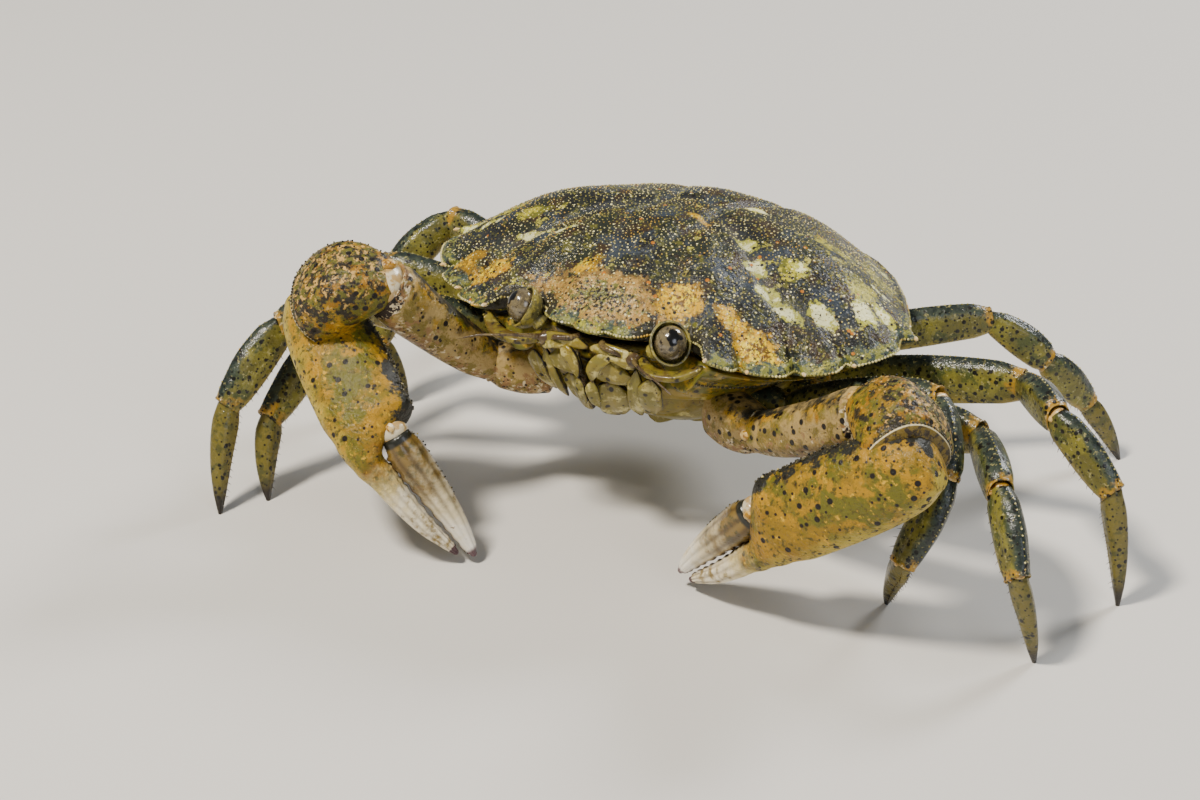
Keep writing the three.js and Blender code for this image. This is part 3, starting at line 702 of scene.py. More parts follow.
def relief(x, y):
    """Swellings less furrows, in millimetres."""
    height = -furrow_depth(x, y)
    for *shape, high in SWELLINGS:
        height += high * hump(np.abs(x), y, *shape)
    return height


def marking(name, x, y):
    """The strength of one colour's zone."""
    strength = np.zeros(x.shape)
    for *shape, strong in SPOTS[name]:
        strength = np.maximum(strength, strong * hump(x, y, *shape))
    return strength


print("swellings:", len(SWELLINGS), "furrows:", len(FURROWS))

# %% [markdown]
# ## The shell
# The sheet starts as a point in the middle of the back, spreads out ring by ring to the toothed edge,
# turns over the thin rim and runs back in below. The rings crowd together near the edge, because
# that is where the shape changes fastest. The relief dies out before the rim, which stays a clean line.

# %% Shell
SHELL_MIDDLE = np.array([0, 1.5])
DOME, DOME_POWER = 13.2, 2.6  # height of the middle over the edge, and how late the shell falls off
EDGE, LIP, LIP_DROP, TURN_IN = 1.2, 0.985, 0.4, 0.93  # the edge's thickness, and its turn to the inside
TOOTH_FADE, RELIEF_FADE = 9, 7  # powers by which the teeth fade inwards and the relief outwards
RIM_RISE, RIM_WIDTH = 0.35, 0.012
HOOD_WIDTH = 1.1
TOP_ROWS = 0.8  # share of the rows that lie on top
SHELL_COLUMNS, SHELL_ROWS = 6 * len(OUTLINE), 84


def shell_top(around, share):
    """A place on the top of the level shell: share is 0 in the middle and 1 at the edge."""
    line, even = along_outline(OUTLINE, around), along_outline(EVEN, around)
    line = even + (line - even) * (share**TOOTH_FADE)[:, None]
    flat = SHELL_MIDDLE + (line[:, :2] - SHELL_MIDDLE) * share[:, None]
    height = line[:, 2] * share**2 + DOME * (1 - share**DOME_POWER)
    height += relief(flat[:, 0], flat[:, 1]) * (1 - share**RELIEF_FADE)
    height += RIM_RISE * wave(share - LIP, RIM_WIDTH)
    return np.column_stack([flat, height])


def shell_under(around, share):
    """A place on the hollow lower face of the level shell."""
    line, even = along_outline(OUTLINE, around), along_outline(EVEN, around)
    line = even + (line - even) * eased(share, TURN_IN, LIP)[:, None]
    flat = SHELL_MIDDLE + (line[:, :2] - SHELL_MIDDLE) * share[:, None]
    drop = np.interp(share, [TURN_IN, LIP, 1], [EDGE, LIP_DROP, 0])
    return np.column_stack([flat, line[:, 2] * share**2 - drop])


def shell_rule(around, along):
    """The whole shell from the sheet: the top, the turned edge and the hollow lower face."""
    share_top = np.sin(math.pi / 2 * np.clip(along / TOP_ROWS, 0, 1))
    turned = np.clip((along - TOP_ROWS) / (1 - TOP_ROWS), 0, 1)
    share_under = np.interp(turned, [0, 0.2, 0.4, 1], [1, LIP, TURN_IN, 0])
    top, under = shell_top(around, share_top), shell_under(around, share_under)
    level = np.where((along <= TOP_ROWS)[:, None], top, under)
    x, y = level[:, 0], level[:, 1]
    edge_share = np.where(along <= TOP_ROWS, share_top, share_under)
    marks = {name: marking(name, x, y) for name in SPOTS}
    to_orbit = np.hypot((np.abs(x) - ORBIT_MIDDLE[0]) / ORBIT_REACH[0],
                        (y - ORBIT_MIDDLE[1]) / ORBIT_REACH[1])
    # Under the edge over the eye this band is painted shade.
    marks["hood"] = wave((to_orbit - 1) * ORBIT_REACH[1], HOOD_WIDTH)
    marks["rim"] = eased(edge_share, 0.90, LIP) * (y < 4)
    marks["groove"] = furrow_depth(x, y) * (1 - share_top**RELIEF_FADE)
    return on_body(level), marks


shell_bm = bent_grid(SHELL_COLUMNS, SHELL_ROWS, shell_rule)
print("shell faces:", len(shell_bm.faces))
keep("shell", shell_bm, shell_chitin, ["carapace"])

# %% [markdown]
# ## Granules, beads and bristles
# Thousands of small hard grains roughen a crab's shell, and rows of them edge it like beading.
# Each is a real little solid here, because the light catches them one by one. A modifier could
# scatter instances, but an export needs plain meshes, so one grain is made with an operator, and its
# points are repeated by an array sum into a single mesh. Each copy is also given a small patch of its
# own on a flat map of the plate, placed at its root, so that baked colour can't run between grains.

# %% Scattering helpers
MAP_PATCH = 0.003  # size of one grain's patch on the map
BODY_MAP_REACH = 90  # millimetres of the body that the map spans


def grain_shape(kind):
    """The points and faces of one grain: a rough ball, or a cone that stands on its root."""
    bm = bmesh.new()
    if kind == "ball":
        bmesh.ops.create_icosphere(bm, subdivisions=1, radius=1)
    else:
        bmesh.ops.create_cone(bm, cap_ends=True, segments=5, radius1=1, radius2=0.12, depth=1)
        bmesh.ops.translate(bm, vec=(0, 0, 0.5), verts=bm.verts)
    bmesh.ops.triangulate(bm, faces=bm.faces)
    points = np.array([vertex.co[:] for vertex in bm.verts])
    faces = np.array([[vertex.index for vertex in face.verts] for face in bm.faces])
    bm.free()
    return points, faces


def frames_along(directions):
    """Two crosswise directions for each direction."""
    helper = np.where(np.abs(directions[:, 2:]) < 0.9, [[0.0, 0.0, 1.0]], [[1.0, 0.0, 0.0]])
    first = unit(np.cross(directions, helper))
    return first, np.cross(directions, first)


def scatter(name, kind, places, directions, width, length, roots, material):
    """Many grains as one mesh: places and sizes in millimetres, roots on the plate's flat map."""
    points, faces = grain_shape(kind)
    directions = unit(np.broadcast_to(directions, (len(places), 3)))
    first, second = frames_along(directions)
    width, length = np.broadcast_to(width, len(places)), np.broadcast_to(length, len(places))
    spread = np.stack([first * width[:, None], second * width[:, None], directions * length[:, None]], 1)
    everywhere = np.asarray(places)[:, None, :] + np.einsum("pk,nkc->npc", points, spread)
    numbering = faces[None] + (np.arange(len(places)) * len(points))[:, None, None]
    mesh = bpy.data.meshes.new(name)
    mesh.from_pydata((everywhere.reshape(-1, 3) * MM).tolist(), [], numbering.reshape(-1, 3).tolist())
    layer = mesh.uv_layers.new(name="OFBake")
    corner = points[faces.reshape(-1)][:, :2] * MAP_PATCH / 2
    patch = np.asarray(roots)[:, None, :] + corner[None]
    layer.data.foreach_set("uv", patch.reshape(-1).astype(np.float32))
    mesh.materials.append(material)
    mesh.shade_smooth()
    settle(name, mesh)


def scatter_beads(name, places, size, roots, material, direction=UP):
    """Round grains as one mesh."""
    scatter(name, "ball", places, direction, size, size, roots, material)


def evenly(points, spacing):
    """Places at even steps along a line of points, and the share of the way to each."""
    points = np.asarray(points)
    run = np.concatenate([[0], np.cumsum(np.linalg.norm(np.diff(points, axis=0), axis=1))])
    steps = np.linspace(0, run[-1], max(2, int(run[-1] / spacing)))
    return np.column_stack([np.interp(steps, run, points[:, axis]) for axis in range(3)]), steps / run[-1]


def thinned(places, spacing, rng):
    """A random choice of places that keep their distance from each other."""
    taken, chosen = {}, []
    for index in rng.permutation(len(places)):
        cell = tuple(np.floor(places[index] / spacing).astype(int))
        near = [other for dx in (-1, 0, 1) for dy in (-1, 0, 1) for dz in (-1, 0, 1)
                for other in taken.get((cell[0] + dx, cell[1] + dy, cell[2] + dz), ())]
        if all(np.linalg.norm(places[index] - places[other]) >= spacing for other in near):
            taken.setdefault(cell, []).append(index)
            chosen.append(index)
    return np.array(chosen)


def body_map(level):
    """The root of a grain on the flat map of the body, seen from above."""
    return level[:, :2] / BODY_MAP_REACH + 0.5


# %% [markdown]
# ## Granules on the shell
# The granules are thickest on the dark parts of the shell and sparse on the ochre and whitish ones.
# Random places are drawn on the top, then thinned, so that no two grains touch. The seed is fixed,
# which makes the same crab every time.

# %% Shell granules
GRANULE_SPACING, GRANULE_SIZES = 0.54, (0.07, 0.16)
TRIES = 24000
BARENESS = 0.75  # how much sparser the granules are on the bare colours
rng = np.random.default_rng(7)
around, share = rng.random(TRIES), np.sqrt(rng.random(TRIES)) * LIP
level = shell_top(around, share)
bare = np.max([marking(name, level[:, 0], level[:, 1]) for name in ("ochre", "rosy", "pale")], axis=0)
level = level[rng.random(TRIES) < 1 - BARENESS * np.clip(bare, 0, 1)]
level = level[thinned(level, GRANULE_SPACING, rng)]
scatter_beads("shell_granules", on_body(level), rng.uniform(*GRANULE_SIZES, len(level)), body_map(level),
              granule_chalk)
print("shell granules:", len(level))

# %% [markdown]
# ## Beaded edge
# A row of ivory beads follows the lobes, arches over each eye and runs along every tooth. On the rear
# edge the beads are smaller. The row is the shell's own outline, walked at even steps. Each tooth
# ends in a cream tip, an oval grain that lies along the way the tooth points.

# %% Beaded edge
BEAD_SPACING = 0.5
FRONT_SHARE = 0.40  # the larger beads run from the middle of the front this far round each side
FRONT_BEADS, REAR_BEADS = (0.16, 0.25), (0.12, 0.19)
RIM_SAMPLES = 900
TIP_WIDTH, TIP_LENGTH = 0.34, 0.8


def edge_beads(start, end):
    """Places along the rim of the shell between two shares of the way round."""
    line = shell_top(np.linspace(start, end, RIM_SAMPLES) % 1.0, np.ones(RIM_SAMPLES))
    return evenly(line, BEAD_SPACING)[0]


front_row = edge_beads(-FRONT_SHARE, FRONT_SHARE)
rear_row = edge_beads(FRONT_SHARE, 1 - FRONT_SHARE)
level = np.concatenate([front_row, rear_row])
size = np.concatenate([rng.uniform(*FRONT_BEADS, len(front_row)), rng.uniform(*REAR_BEADS, len(rear_row))])
scatter_beads("shell_edge_beads", on_body(level), size, body_map(level), granule_chalk)
tips, forward = [], []
for here, before in zip(TEETH, [(16.0, -23.0, 0.2)] + TEETH[:-1]):
    for side in (1, -1):
        tips.append((side * here[0], here[1], here[2] + 0.15))
        forward.append((side * (here[0] - before[0]) * 0.15, -1.0, 0.1))
tips = on_body(np.array(tips) + unit(forward) * [-0.1, -0.1, 0])
scatter("shell_tooth_tips", "ball", tips, on_body(forward) - on_body((0, 0, 0)), TIP_WIDTH, TIP_LENGTH,
        body_map(tips), tip_chalk)
print("edge beads:", len(level), "tooth tips:", len(tips))

# %% [markdown]
# ## The wall under the edge
# Below the toothed edge the shell folds in towards the legs. This wall is smooth and olive yellow in
# front, crossed by one beaded ridge, and paler near the roots of the legs. Under each eye it is
# scooped out into the socket, with a ledge below. A boolean cut would leave a sharp hole, so the rule
# of the sheet lowers it there instead.

# %% Wall under the edge
WALL_SHARE = 0.93  # how far out under the shell the wall hangs
WALL_HALF_WIDTH, WALL_FRONT, WALL_REAR, WALL_DEPTH = 19.5, 21.5, 26.0, 8.6  # its foot
WALL_ROUND = (36, 26)
WALL_SEAM_DROP = 0.8
# where a ridge or a furrow runs, as a share of the wall's height, how far it stands out, and its width
RIDGE_AT = 0.46
FRONT_RIDGES = ((RIDGE_AT, 0.7, 0.07), (0.30, -0.3, 0.1), (0.75, 0.6, 0.16))
SOCKET_DEPTH, SOCKET_FRONT = 3.4, -26.6
SOCKET_REACH, SOCKET_BACK = (4.6, 3.2), 0.6
LEDGE_REACH, LEDGE_AT, LEDGE_MIDDLE = 2.2, 0.18, 12.6  # the floor of each eye socket
LEDGE_HEIGHT, LEDGE_WIDTH = 0.13, 4.2
WALL_TOP, WALL_FOOT = 0.3, 0.86  # shares of the rows where the wall starts and ends
WALL_ROWS = 64


def wall_place(around, share):
    """A place on the wall: share is 0 at the shell and 1 at the roots of the legs."""
    even = along_outline(EVEN, around)
    flat = SHELL_MIDDLE + (even[:, :2] - SHELL_MIDDLE) * WALL_SHARE
    top = even[:, 2] * WALL_SHARE**2 - EDGE
    angle = np.arctan2(flat[:, 1] / WALL_ROUND[1], flat[:, 0] / WALL_ROUND[0])
    reach = np.where(flat[:, 1] < 0, WALL_FRONT, WALL_REAR)
    low = np.column_stack([WALL_HALF_WIDTH * np.cos(angle), reach * np.sin(angle)])
    blend = np.sin(math.pi / 2 * share)[:, None]
    flat = flat + (low - flat) * blend
    bulge = sum(out * wave(share - at, width) for at, out, width in FRONT_RIDGES)
    bulge += (LEDGE_REACH * wave(share - LEDGE_AT, LEDGE_HEIGHT)
              * wave(np.abs(flat[:, 0]) - LEDGE_MIDDLE, LEDGE_WIDTH))
    flat = flat + unit(flat) * (bulge * eased(-flat[:, 1], -4, 6))[:, None]
    return np.column_stack([flat, top + (-WALL_DEPTH - top) * share - WALL_SEAM_DROP])


def wall_rule(around, along):
    """The body under the shell from the sheet: a roof inside the shell, the wall, and a flat foot."""
    even = along_outline(EVEN, around)
    roof_share = np.clip(along / WALL_TOP, 0, 1) * WALL_SHARE
    roof = np.column_stack([
        SHELL_MIDDLE + (even[:, :2] - SHELL_MIDDLE) * roof_share[:, None],
        even[:, 2] * roof_share**2 - EDGE - WALL_SEAM_DROP,
    ])
    share = np.clip((along - WALL_TOP) / (WALL_FOOT - WALL_TOP), 0, 1)
    wall = wall_place(around, share)
    closing = np.clip((1 - along) / (1 - WALL_FOOT), 0, 1)[:, None]
    wall[:, :2] = SHELL_MIDDLE + (wall[:, :2] - SHELL_MIDDLE) * closing
    level = np.where((along < WALL_TOP)[:, None], roof, wall)
    x, y = np.abs(level[:, 0]), level[:, 1]
    socket = np.hypot((x - ORBIT_MIDDLE[0]) / SOCKET_REACH[0],
                      (y - ORBIT_MIDDLE[1] - SOCKET_BACK) / SOCKET_REACH[1])
    scoop = (1 - eased(socket, 0.55, 1.15)) * eased(y, SOCKET_FRONT, SOCKET_FRONT + 1.2)
    level[:, 2] -= SOCKET_DEPTH * scoop * (along < WALL_FOOT) * (1 - eased(share, 0.25, 0.6))
    fore = eased(-y, -6, 4)
    under_front = wave(x, 9.5) * eased(-y, 14, 20)
    return on_body(level), {
        "wall": 0.25 + 0.75 * fore * (1 - eased(share, 0.72, 0.95)),
        # The darker mark: painted shade under the shell's edge, in the eye socket and under the front, with
        # the wall's own dark line along the ridge.
        "stain": 0.55 * (1 - eased(share, 0.0, 0.16)) + 0.75 * wave(share - RIDGE_AT, 0.05)
        + 0.5 * under_front + 0.3 * scoop,
    }


keep("shell_wall", bent_grid(SHELL_COLUMNS // 2, WALL_ROWS, wall_rule), belly_chitin,
     ["underside"])

RIDGE_SAMPLES, RIDGE_SPACING = 300, 0.55
RIDGE_BEAD, RIDGE_BEAD_LEAST = 0.22, 0.05
for side_name, start, end in (("left", 0.03, 0.36), ("right", 0.64, 0.97)):
    around = np.linspace(start, end, RIDGE_SAMPLES)
    places, shares = evenly(wall_place(around, np.full(RIDGE_SAMPLES, RIDGE_AT)), RIDGE_SPACING)
    size = RIDGE_BEAD * np.sin(math.pi * np.clip(shares * 0.9 + 0.08, 0, 1)) + RIDGE_BEAD_LEAST
    scatter_beads(f"wall_ridge_beads_{side_name}", on_body(places), size, body_map(places), dark_chalk)
print("wall with its ridge beads made")

# %% [markdown]
# ## Belly plate and tail flap
# A male's tail is a narrow flap of seven rings, folded forward under the body into a groove of the
# belly plate. The plate shows the seams between the segments that carry the legs. Both are bent
# sheets again: the seams are shallow furrows at even steps, which separate plates would only
# repeat at more cost.

# %% Belly plate
BELLY_HALF_WIDTH, BELLY_FRONT = 12.2, 20.0
BELLY_TOP, BELLY_FOOT = 0.15, 0.75  # shares of the rows where its side starts and ends
# height, how far the sides and the front stand in, and the rear end
BELLY_LEVELS = np.array([(-9.6, 0, 0.8, 25.0), (-12.8, 0, 3.5, 21.4), (-15.4, 1.2, 8.5, 17.0),
                         (-17.2, 3.4, 13.0, 10.5)])
SEGMENT_LENGTH = 5.6
SEAM_RISE, SEAM_WIDTH = 0.45, 0.06


def belly_rule(around, along):
    """The belly plate from the sheet, by its outlines at four heights."""
    angle = 2 * math.pi * around
    depth = np.clip((along - BELLY_TOP) / (BELLY_FOOT - BELLY_TOP), 0, 1)
    level_at = depth * (len(BELLY_LEVELS) - 1)
    z, inset, front_inset, rear = (
        np.interp(level_at, range(len(BELLY_LEVELS)), BELLY_LEVELS[:, column]) for column in range(4))
    closing = np.where(along < BELLY_TOP, np.sin(math.pi / 2 * along / BELLY_TOP),
                       np.cos(math.pi / 2 * np.clip((along - BELLY_FOOT) / (1 - BELLY_FOOT), 0, 1)))
    reach = np.where(np.sin(angle) < 0, BELLY_FRONT - front_inset, rear)
    x = (BELLY_HALF_WIDTH - inset) * np.cos(angle) * closing
    y = reach * np.sin(angle) * closing
    seam = wave((y / SEGMENT_LENGTH + 0.5) % 1 - 0.5, SEAM_WIDTH) * eased(np.abs(x), 2.5, 5)
    z = z - 0.4 * (1 - closing) + SEAM_RISE * seam
    fore = eased(-y, 9, 15)
    # The seams are dark lines; the darker front of the plate, with the wall's olive, is painted shade under
    # the mouth.
    return on_body(np.column_stack([x, y, z])), {"stain": 0.7 * seam + 0.9 * fore, "wall": 0.5 * fore}


keep("belly_plate", bent_grid(120, 60, belly_rule), belly_chitin, ["sternum"])

# %% Tail flap
# rows of y, z and the flap's width
TAIL = np.array([(27.4, 0.9, 17.0), (28.4, -2.8, 16.0), (26.8, -7.2, 13.6), (22.6, -12.2, 11.2),
                 (15.0, -16.6, 9.4), (5.0, -18.1, 7.4), (-6.5, -17.9, 3.0)])
TAIL_THICKNESS = 1.5
TAIL_RINGS = 7


def smooth_line(stations, where):
    """Stations, rows of numbers, followed smoothly without overshoot: where runs from 0 to 1."""
    stations = np.asarray(stations, float)
    steps = np.maximum(np.linalg.norm(np.diff(stations[:, :3], axis=0), axis=1), 1e-6)[:, None]
    rates = np.diff(stations, axis=0) / steps
    slopes = np.zeros_like(stations)
    slopes[0], slopes[-1] = rates[0], rates[-1]
    same_way = rates[:-1] * rates[1:] > 0
    mean = 2 * rates[:-1] * rates[1:] / np.where(same_way, rates[:-1] + rates[1:], 1)
    slopes[1:-1] = np.where(same_way, mean, 0)
    index = np.clip(where * (len(stations) - 1), 0, len(stations) - 1 - 1e-9)
    here = index.astype(int)
    step = steps[here]
    return curve((index - here)[:, None], stations[here], stations[here + 1], step * slopes[here],
                 step * slopes[here + 1])


def heading(stations, where):
    """The way a line of stations runs at each place."""
    ahead, behind = (smooth_line(stations, np.clip(where + step, 0, 1)) for step in (0.01, -0.01))
    return unit((ahead - behind)[:, :3])


def tail_rule(around, along):
    """The flap from the sheet: a flat tube in the middle plane, with steps where its rings overlap."""
    angle = 2 * math.pi * around
    stations = np.column_stack([np.zeros(len(TAIL)), TAIL])
    inner = np.clip(along, 0.02, 0.98)
    line = smooth_line(stations, inner)
    run = heading(stations, inner)[:, 1:]
    ring = (inner * TAIL_RINGS) % 1
    step_up = 0.35 * ring - 0.25 * wave(ring, 0.08) - 0.25 * wave(ring - 1, 0.08)
    closing = rounded_ends(along, 0.03)
    half = line[:, 3] / 2 * closing * (1 - 0.05 * wave(ring, 0.12))
    keel = 0.25 * wave(np.cos(angle), 0.3)
    thick = (TAIL_THICKNESS / 2 + step_up * 0.5 + keel) * closing
    x = half * np.sign(np.cos(angle)) * np.abs(np.cos(angle)) ** 0.8
    out = thick * np.sin(angle)
    level = np.column_stack([x, line[:, 1] - run[:, 1] * out, line[:, 2] + run[:, 0] * out])
    return on_body(level), {"stain": 0.5 * wave(ring, 0.1) + 0.25 * (1 - along)}


keep("tail_flap", bent_grid(40, 160, tail_rule), belly_chitin, ["abdomen"])
print("belly plate and tail flap made")

# %% [markdown]
# ## Eyes
# A crab's eye is a short stalk with a ball at its end. The lenses cover the outer side of the ball,
# and the stalk's yellow chitin wraps the rest up to a raised rim. The ball is a sphere that is a
# little taller than wide. The cup round it is the same sphere, a shade larger, cut off by a plane
# with bisect_plane and given a wall with solidify. A texture with a painted rim would look flat here,
# because the rim casts a fine shadow on the lenses.

# %% Eyes
EYE_AT, EYE_RADIUS = (11.9, -25.0, 0.8), 2.2
STALK_FOOT, STALK_RADIUS = (8.6, -24.2, -1.6), 1.35
EYE_LOOK = unit((0.66, -0.64, 0.42))
EYE_TALL = 1.12
CUP_WALL, CUP_SIZE, CUP_BEVEL = 0.34, 1.18, 0.08
# dark spots of the eye: place across, place above and size, in eye radii
PUPILS = ((0.05, 0.30, 0.46), (0.12, -0.05, 0.34), (-0.42, 0.15, 0.16), (0.3, -0.45, 0.18))


def side_point(point, side):
    """A point of the left half, mirrored to the given side, where the crab stands."""
    return on_body((side * point[0], point[1], point[2]))


def side_direction(direction, side):
    """A direction of the left half, mirrored to the given side and tipped with the body."""
    return unit(side_point(direction, side) - side_point((0, 0, 0), side))


def eye_ball(radius):
    """A fine ball, a little taller than wide."""
    bm = bmesh.new()
    bmesh.ops.create_uvsphere(bm, u_segments=48, v_segments=32, radius=radius)
    bmesh.ops.scale(bm, vec=(1, 1, EYE_TALL), verts=bm.verts)
    return bm


def make_eye(side_name, side):
    """The ball with its lenses, the cup round it and the stalk behind."""
    centre = Vector(side_point(EYE_AT, side))
    look = Vector(side_direction(EYE_LOOK, side))
    across = look.cross(Vector((0, 0, 1))).normalized()
    above = across.cross(look)
    ball = eye_ball(EYE_RADIUS)
    layer = ball.verts.layers.float.new("pupil")
    for vertex in ball.verts:
        direction = vertex.co.normalized()
        spread = [math.hypot(direction.dot(across) * side - px, direction.dot(above) - py) / size
                  for px, py, size in PUPILS]
        vertex[layer] = math.exp(-min(spread) ** 2) if direction.dot(look) > 0 else 0.0
    bmesh.ops.translate(ball, vec=centre, verts=ball.verts)
    keep(f"eye_ball_{side_name}", ball, eye_horn)

    cup = eye_ball(EYE_RADIUS * CUP_SIZE)
    bmesh.ops.bisect_plane(cup, geom=cup.verts[:] + cup.edges[:] + cup.faces[:], dist=1e-5,
                           plane_co=(0, 0, 0), plane_no=look, clear_outer=True)
    bmesh.ops.recalc_face_normals(cup, faces=cup.faces)
    bmesh.ops.solidify(cup, geom=cup.faces[:], thickness=-CUP_WALL)
    rim = [edge for edge in cup.edges if len(edge.link_faces) == 2 and edge.calc_face_angle(0) > 1.0]
    bmesh.ops.bevel(cup, geom=rim, affect="EDGES", offset=CUP_BEVEL, segments=3, profile=0.5, material=-1)
    bmesh.ops.translate(cup, vec=centre, verts=cup.verts)
    keep(f"eye_cup_{side_name}", cup, stalk_chitin, [f"eye_{side_name}"])

    foot = side_point(STALK_FOOT, side)
    axis = unit(np.array(centre) - foot)
    first, second = frames_along(axis[None])
    length = float(np.linalg.norm(np.array(centre) - foot))

    def stalk_rule(around, along):
        angle = 2 * math.pi * around
        radius = STALK_RADIUS * (0.9 + 0.5 * along**2 - 0.12 * wave(along - 0.35, 0.1))
        radius = radius * rounded_ends(along, 0.08)
        ring = first * np.cos(angle)[:, None] + second * np.sin(angle)[:, None]
        return foot + axis * (along * length)[:, None] + ring * radius[:, None], {}

    keep(f"eye_stalk_{side_name}", bent_grid(32, 24, stalk_rule), stalk_chitin)


for side_name, side in SIDES:
    make_eye(side_name, side)
print("eyes made")

# %% [markdown]
# ## Rims of the eye sockets
# The socket's lower lip is a thin, beaded ridge that swings under the eye from the inner corner to the
# first tooth. A tube rolled from a sheet follows it, and the beads stand on it. The same kind of tube
# serves below for the jaws and the feelers.

# %% A tube along a line of points
def tube_rule(line, widths, heights=None, ends=0.06, facing=UP, crease=0.0, squareness=1.0, stain=None):
    """A rule that rolls the sheet round a line of points; its height stands towards `facing`."""
    line = np.asarray(line, float)
    heights = widths if heights is None else heights
    stations = np.column_stack([line, widths, heights])

    def rule(around, along):
        angle = 2 * math.pi * around
        inner = np.clip(along, 0.002, 0.998)
        at = smooth_line(stations, inner)
        run = heading(stations, inner)
        flat = unit(np.cross(run, facing))
        high = np.cross(flat, run)
        closing = rounded_ends(along, ends)
        dent = 1 - crease * wave(np.cos(angle) + 0.25, 0.2) * (np.sin(angle) > 0)
        cos, sin = (np.sign(wave_part) * np.abs(wave_part) ** squareness
                    for wave_part in (np.cos(angle), np.sin(angle)))
        ring = (flat * (cos * at[:, 3] / 2 * closing)[:, None]
                + high * (sin * at[:, 4] / 2 * closing * dent)[:, None])
        # Painted shade: darker towards the two flat sides, the ends and the crease, where the plates overlap
        # and fold.
        edges = 1.15 * np.cos(angle) ** 6 + 0.95 * wave(np.minimum(along, 1 - along), 0.10) + 1.4 * (1 - dent)
        return at[:, :3] + ring, {"stain": edges if stain is None else np.full(len(along), stain)}

    return rule


# %% Socket rims
SOCKET_LIP = ((7.8, -25.2, -2.2), (9.2, -26.7, -2.9), (11.3, -27.7, -3.1), (13.6, -27.5, -3.0),
              (15.8, -26.5, -2.3), (17.5, -25.5, -1.1))
LIP_WIDTHS, LIP_HEIGHTS = (1.4, 2.2, 2.5, 2.4, 1.9, 1.0), (1.0, 1.2, 1.2, 1.2, 1.1, 0.8)
LIP_BEAD, LIP_BEAD_SPACING, LIP_BEAD_OUT = 0.15, 0.42, 0.72
for side_name, side in SIDES:
    lip = np.array([side_point(point, side) for point in SOCKET_LIP])
    # The whole lip takes the darker coats evenly, as painted shade of the eye socket.
    rule = tube_rule(lip, LIP_WIDTHS, LIP_HEIGHTS, squareness=0.8, stain=0.9)
    keep(f"socket_lip_{side_name}", bent_grid(20, 70, rule), belly_chitin)
    beads = evenly(smooth_line(lip, np.linspace(0.05, 0.97, 200)), LIP_BEAD_SPACING)[0]
    outward = side_direction((0.15, -0.95, -0.1), side)
    scatter_beads(f"socket_beads_{side_name}", beads + outward * LIP_BEAD_OUT, LIP_BEAD, body_map(beads),
                  granule_chalk, outward)
print("socket rims made")

# %% [markdown]
# ## Mouthparts
# Three pairs of leg-like jaws lie over a crab's mouth like cupboard doors. The outer pair is two flat
# plates a side with a small palp of two pieces folded at the top corner, and a narrow strap runs along
# the outer edge. Above them the tips of the second pair show. A frame closes the mouth towards the
# eyes, and a cheek plate closes it towards the wall. Each is a flattened tube along its own line.

# %% Mouthparts
# name, line of points on the left half, widths, thicknesses, and depth of the crease
MOUTH_PARTS = (
    ("jaw_plate", ((2.6, -20.0, -13.0), (2.7, -22.2, -11.0), (2.8, -23.9, -8.8), (3.0, -24.8, -6.9)),
     (3.6, 4.8, 5.2, 5.0), (1.2, 1.8, 1.8, 1.5), 0.5),
    ("jaw_top", ((3.1, -25.0, -7.0), (3.5, -25.8, -5.6), (3.9, -26.2, -4.2), (4.4, -26.1, -3.0)),
     (4.8, 5.8, 6.0, 4.4), (1.3, 1.7, 1.6, 1.1), 0.4),
    ("jaw_palp", ((4.2, -27.0, -2.8), (2.7, -27.4, -3.3), (1.5, -27.3, -4.8), (1.1, -26.8, -6.8)),
     (1.5, 2.1, 2.0, 1.3), (0.9, 1.3, 1.2, 0.7), 0.3),
    ("palp_tip", ((1.1, -26.7, -6.6), (0.9, -26.1, -8.2), (0.9, -25.1, -9.8), (1.2, -23.9, -11.4)),
     (1.4, 1.9, 1.7, 0.6), (0.8, 1.2, 1.0, 0.5), 0.3),
    ("jaw_strap", ((6.0, -20.6, -12.2), (6.4, -23.0, -9.6), (6.9, -24.8, -6.6), (7.4, -25.8, -3.8)),
     (1.6, 2.4, 2.3, 1.2), (0.9, 1.4, 1.3, 0.8), 0.4),
    ("inner_palp", ((7.5, -26.3, -3.7), (6.1, -27.0, -3.0), (4.4, -27.3, -2.6), (2.6, -27.1, -2.7)),
     (1.0, 1.2, 1.0, 0.4), (0.7, 0.9, 0.7, 0.4), 0.2),
    ("mouth_frame", ((0.0, -26.3, -2.3), (3.0, -26.6, -1.9), (6.0, -26.4, -2.2), (8.8, -25.6, -3.6)),
     (1.6, 2.0, 2.0, 1.4), (1.2, 1.5, 1.4, 0.9), 0.0),
    ("cheek_plate", ((9.3, -25.4, -4.8), (9.1, -24.6, -6.8), (8.7, -23.0, -9.2), (8.0, -20.6, -11.6)),
     (2.4, 3.4, 3.2, 1.6), (0.9, 1.3, 1.2, 0.7), 0.35),
)
BRISTLED = ("jaw_palp", "palp_tip", "inner_palp")
JAW_BRISTLE_SPACING, JAW_BRISTLE_WIDTH, JAW_BRISTLE_LENGTHS = 0.3, 0.04, (0.5, 1.0)
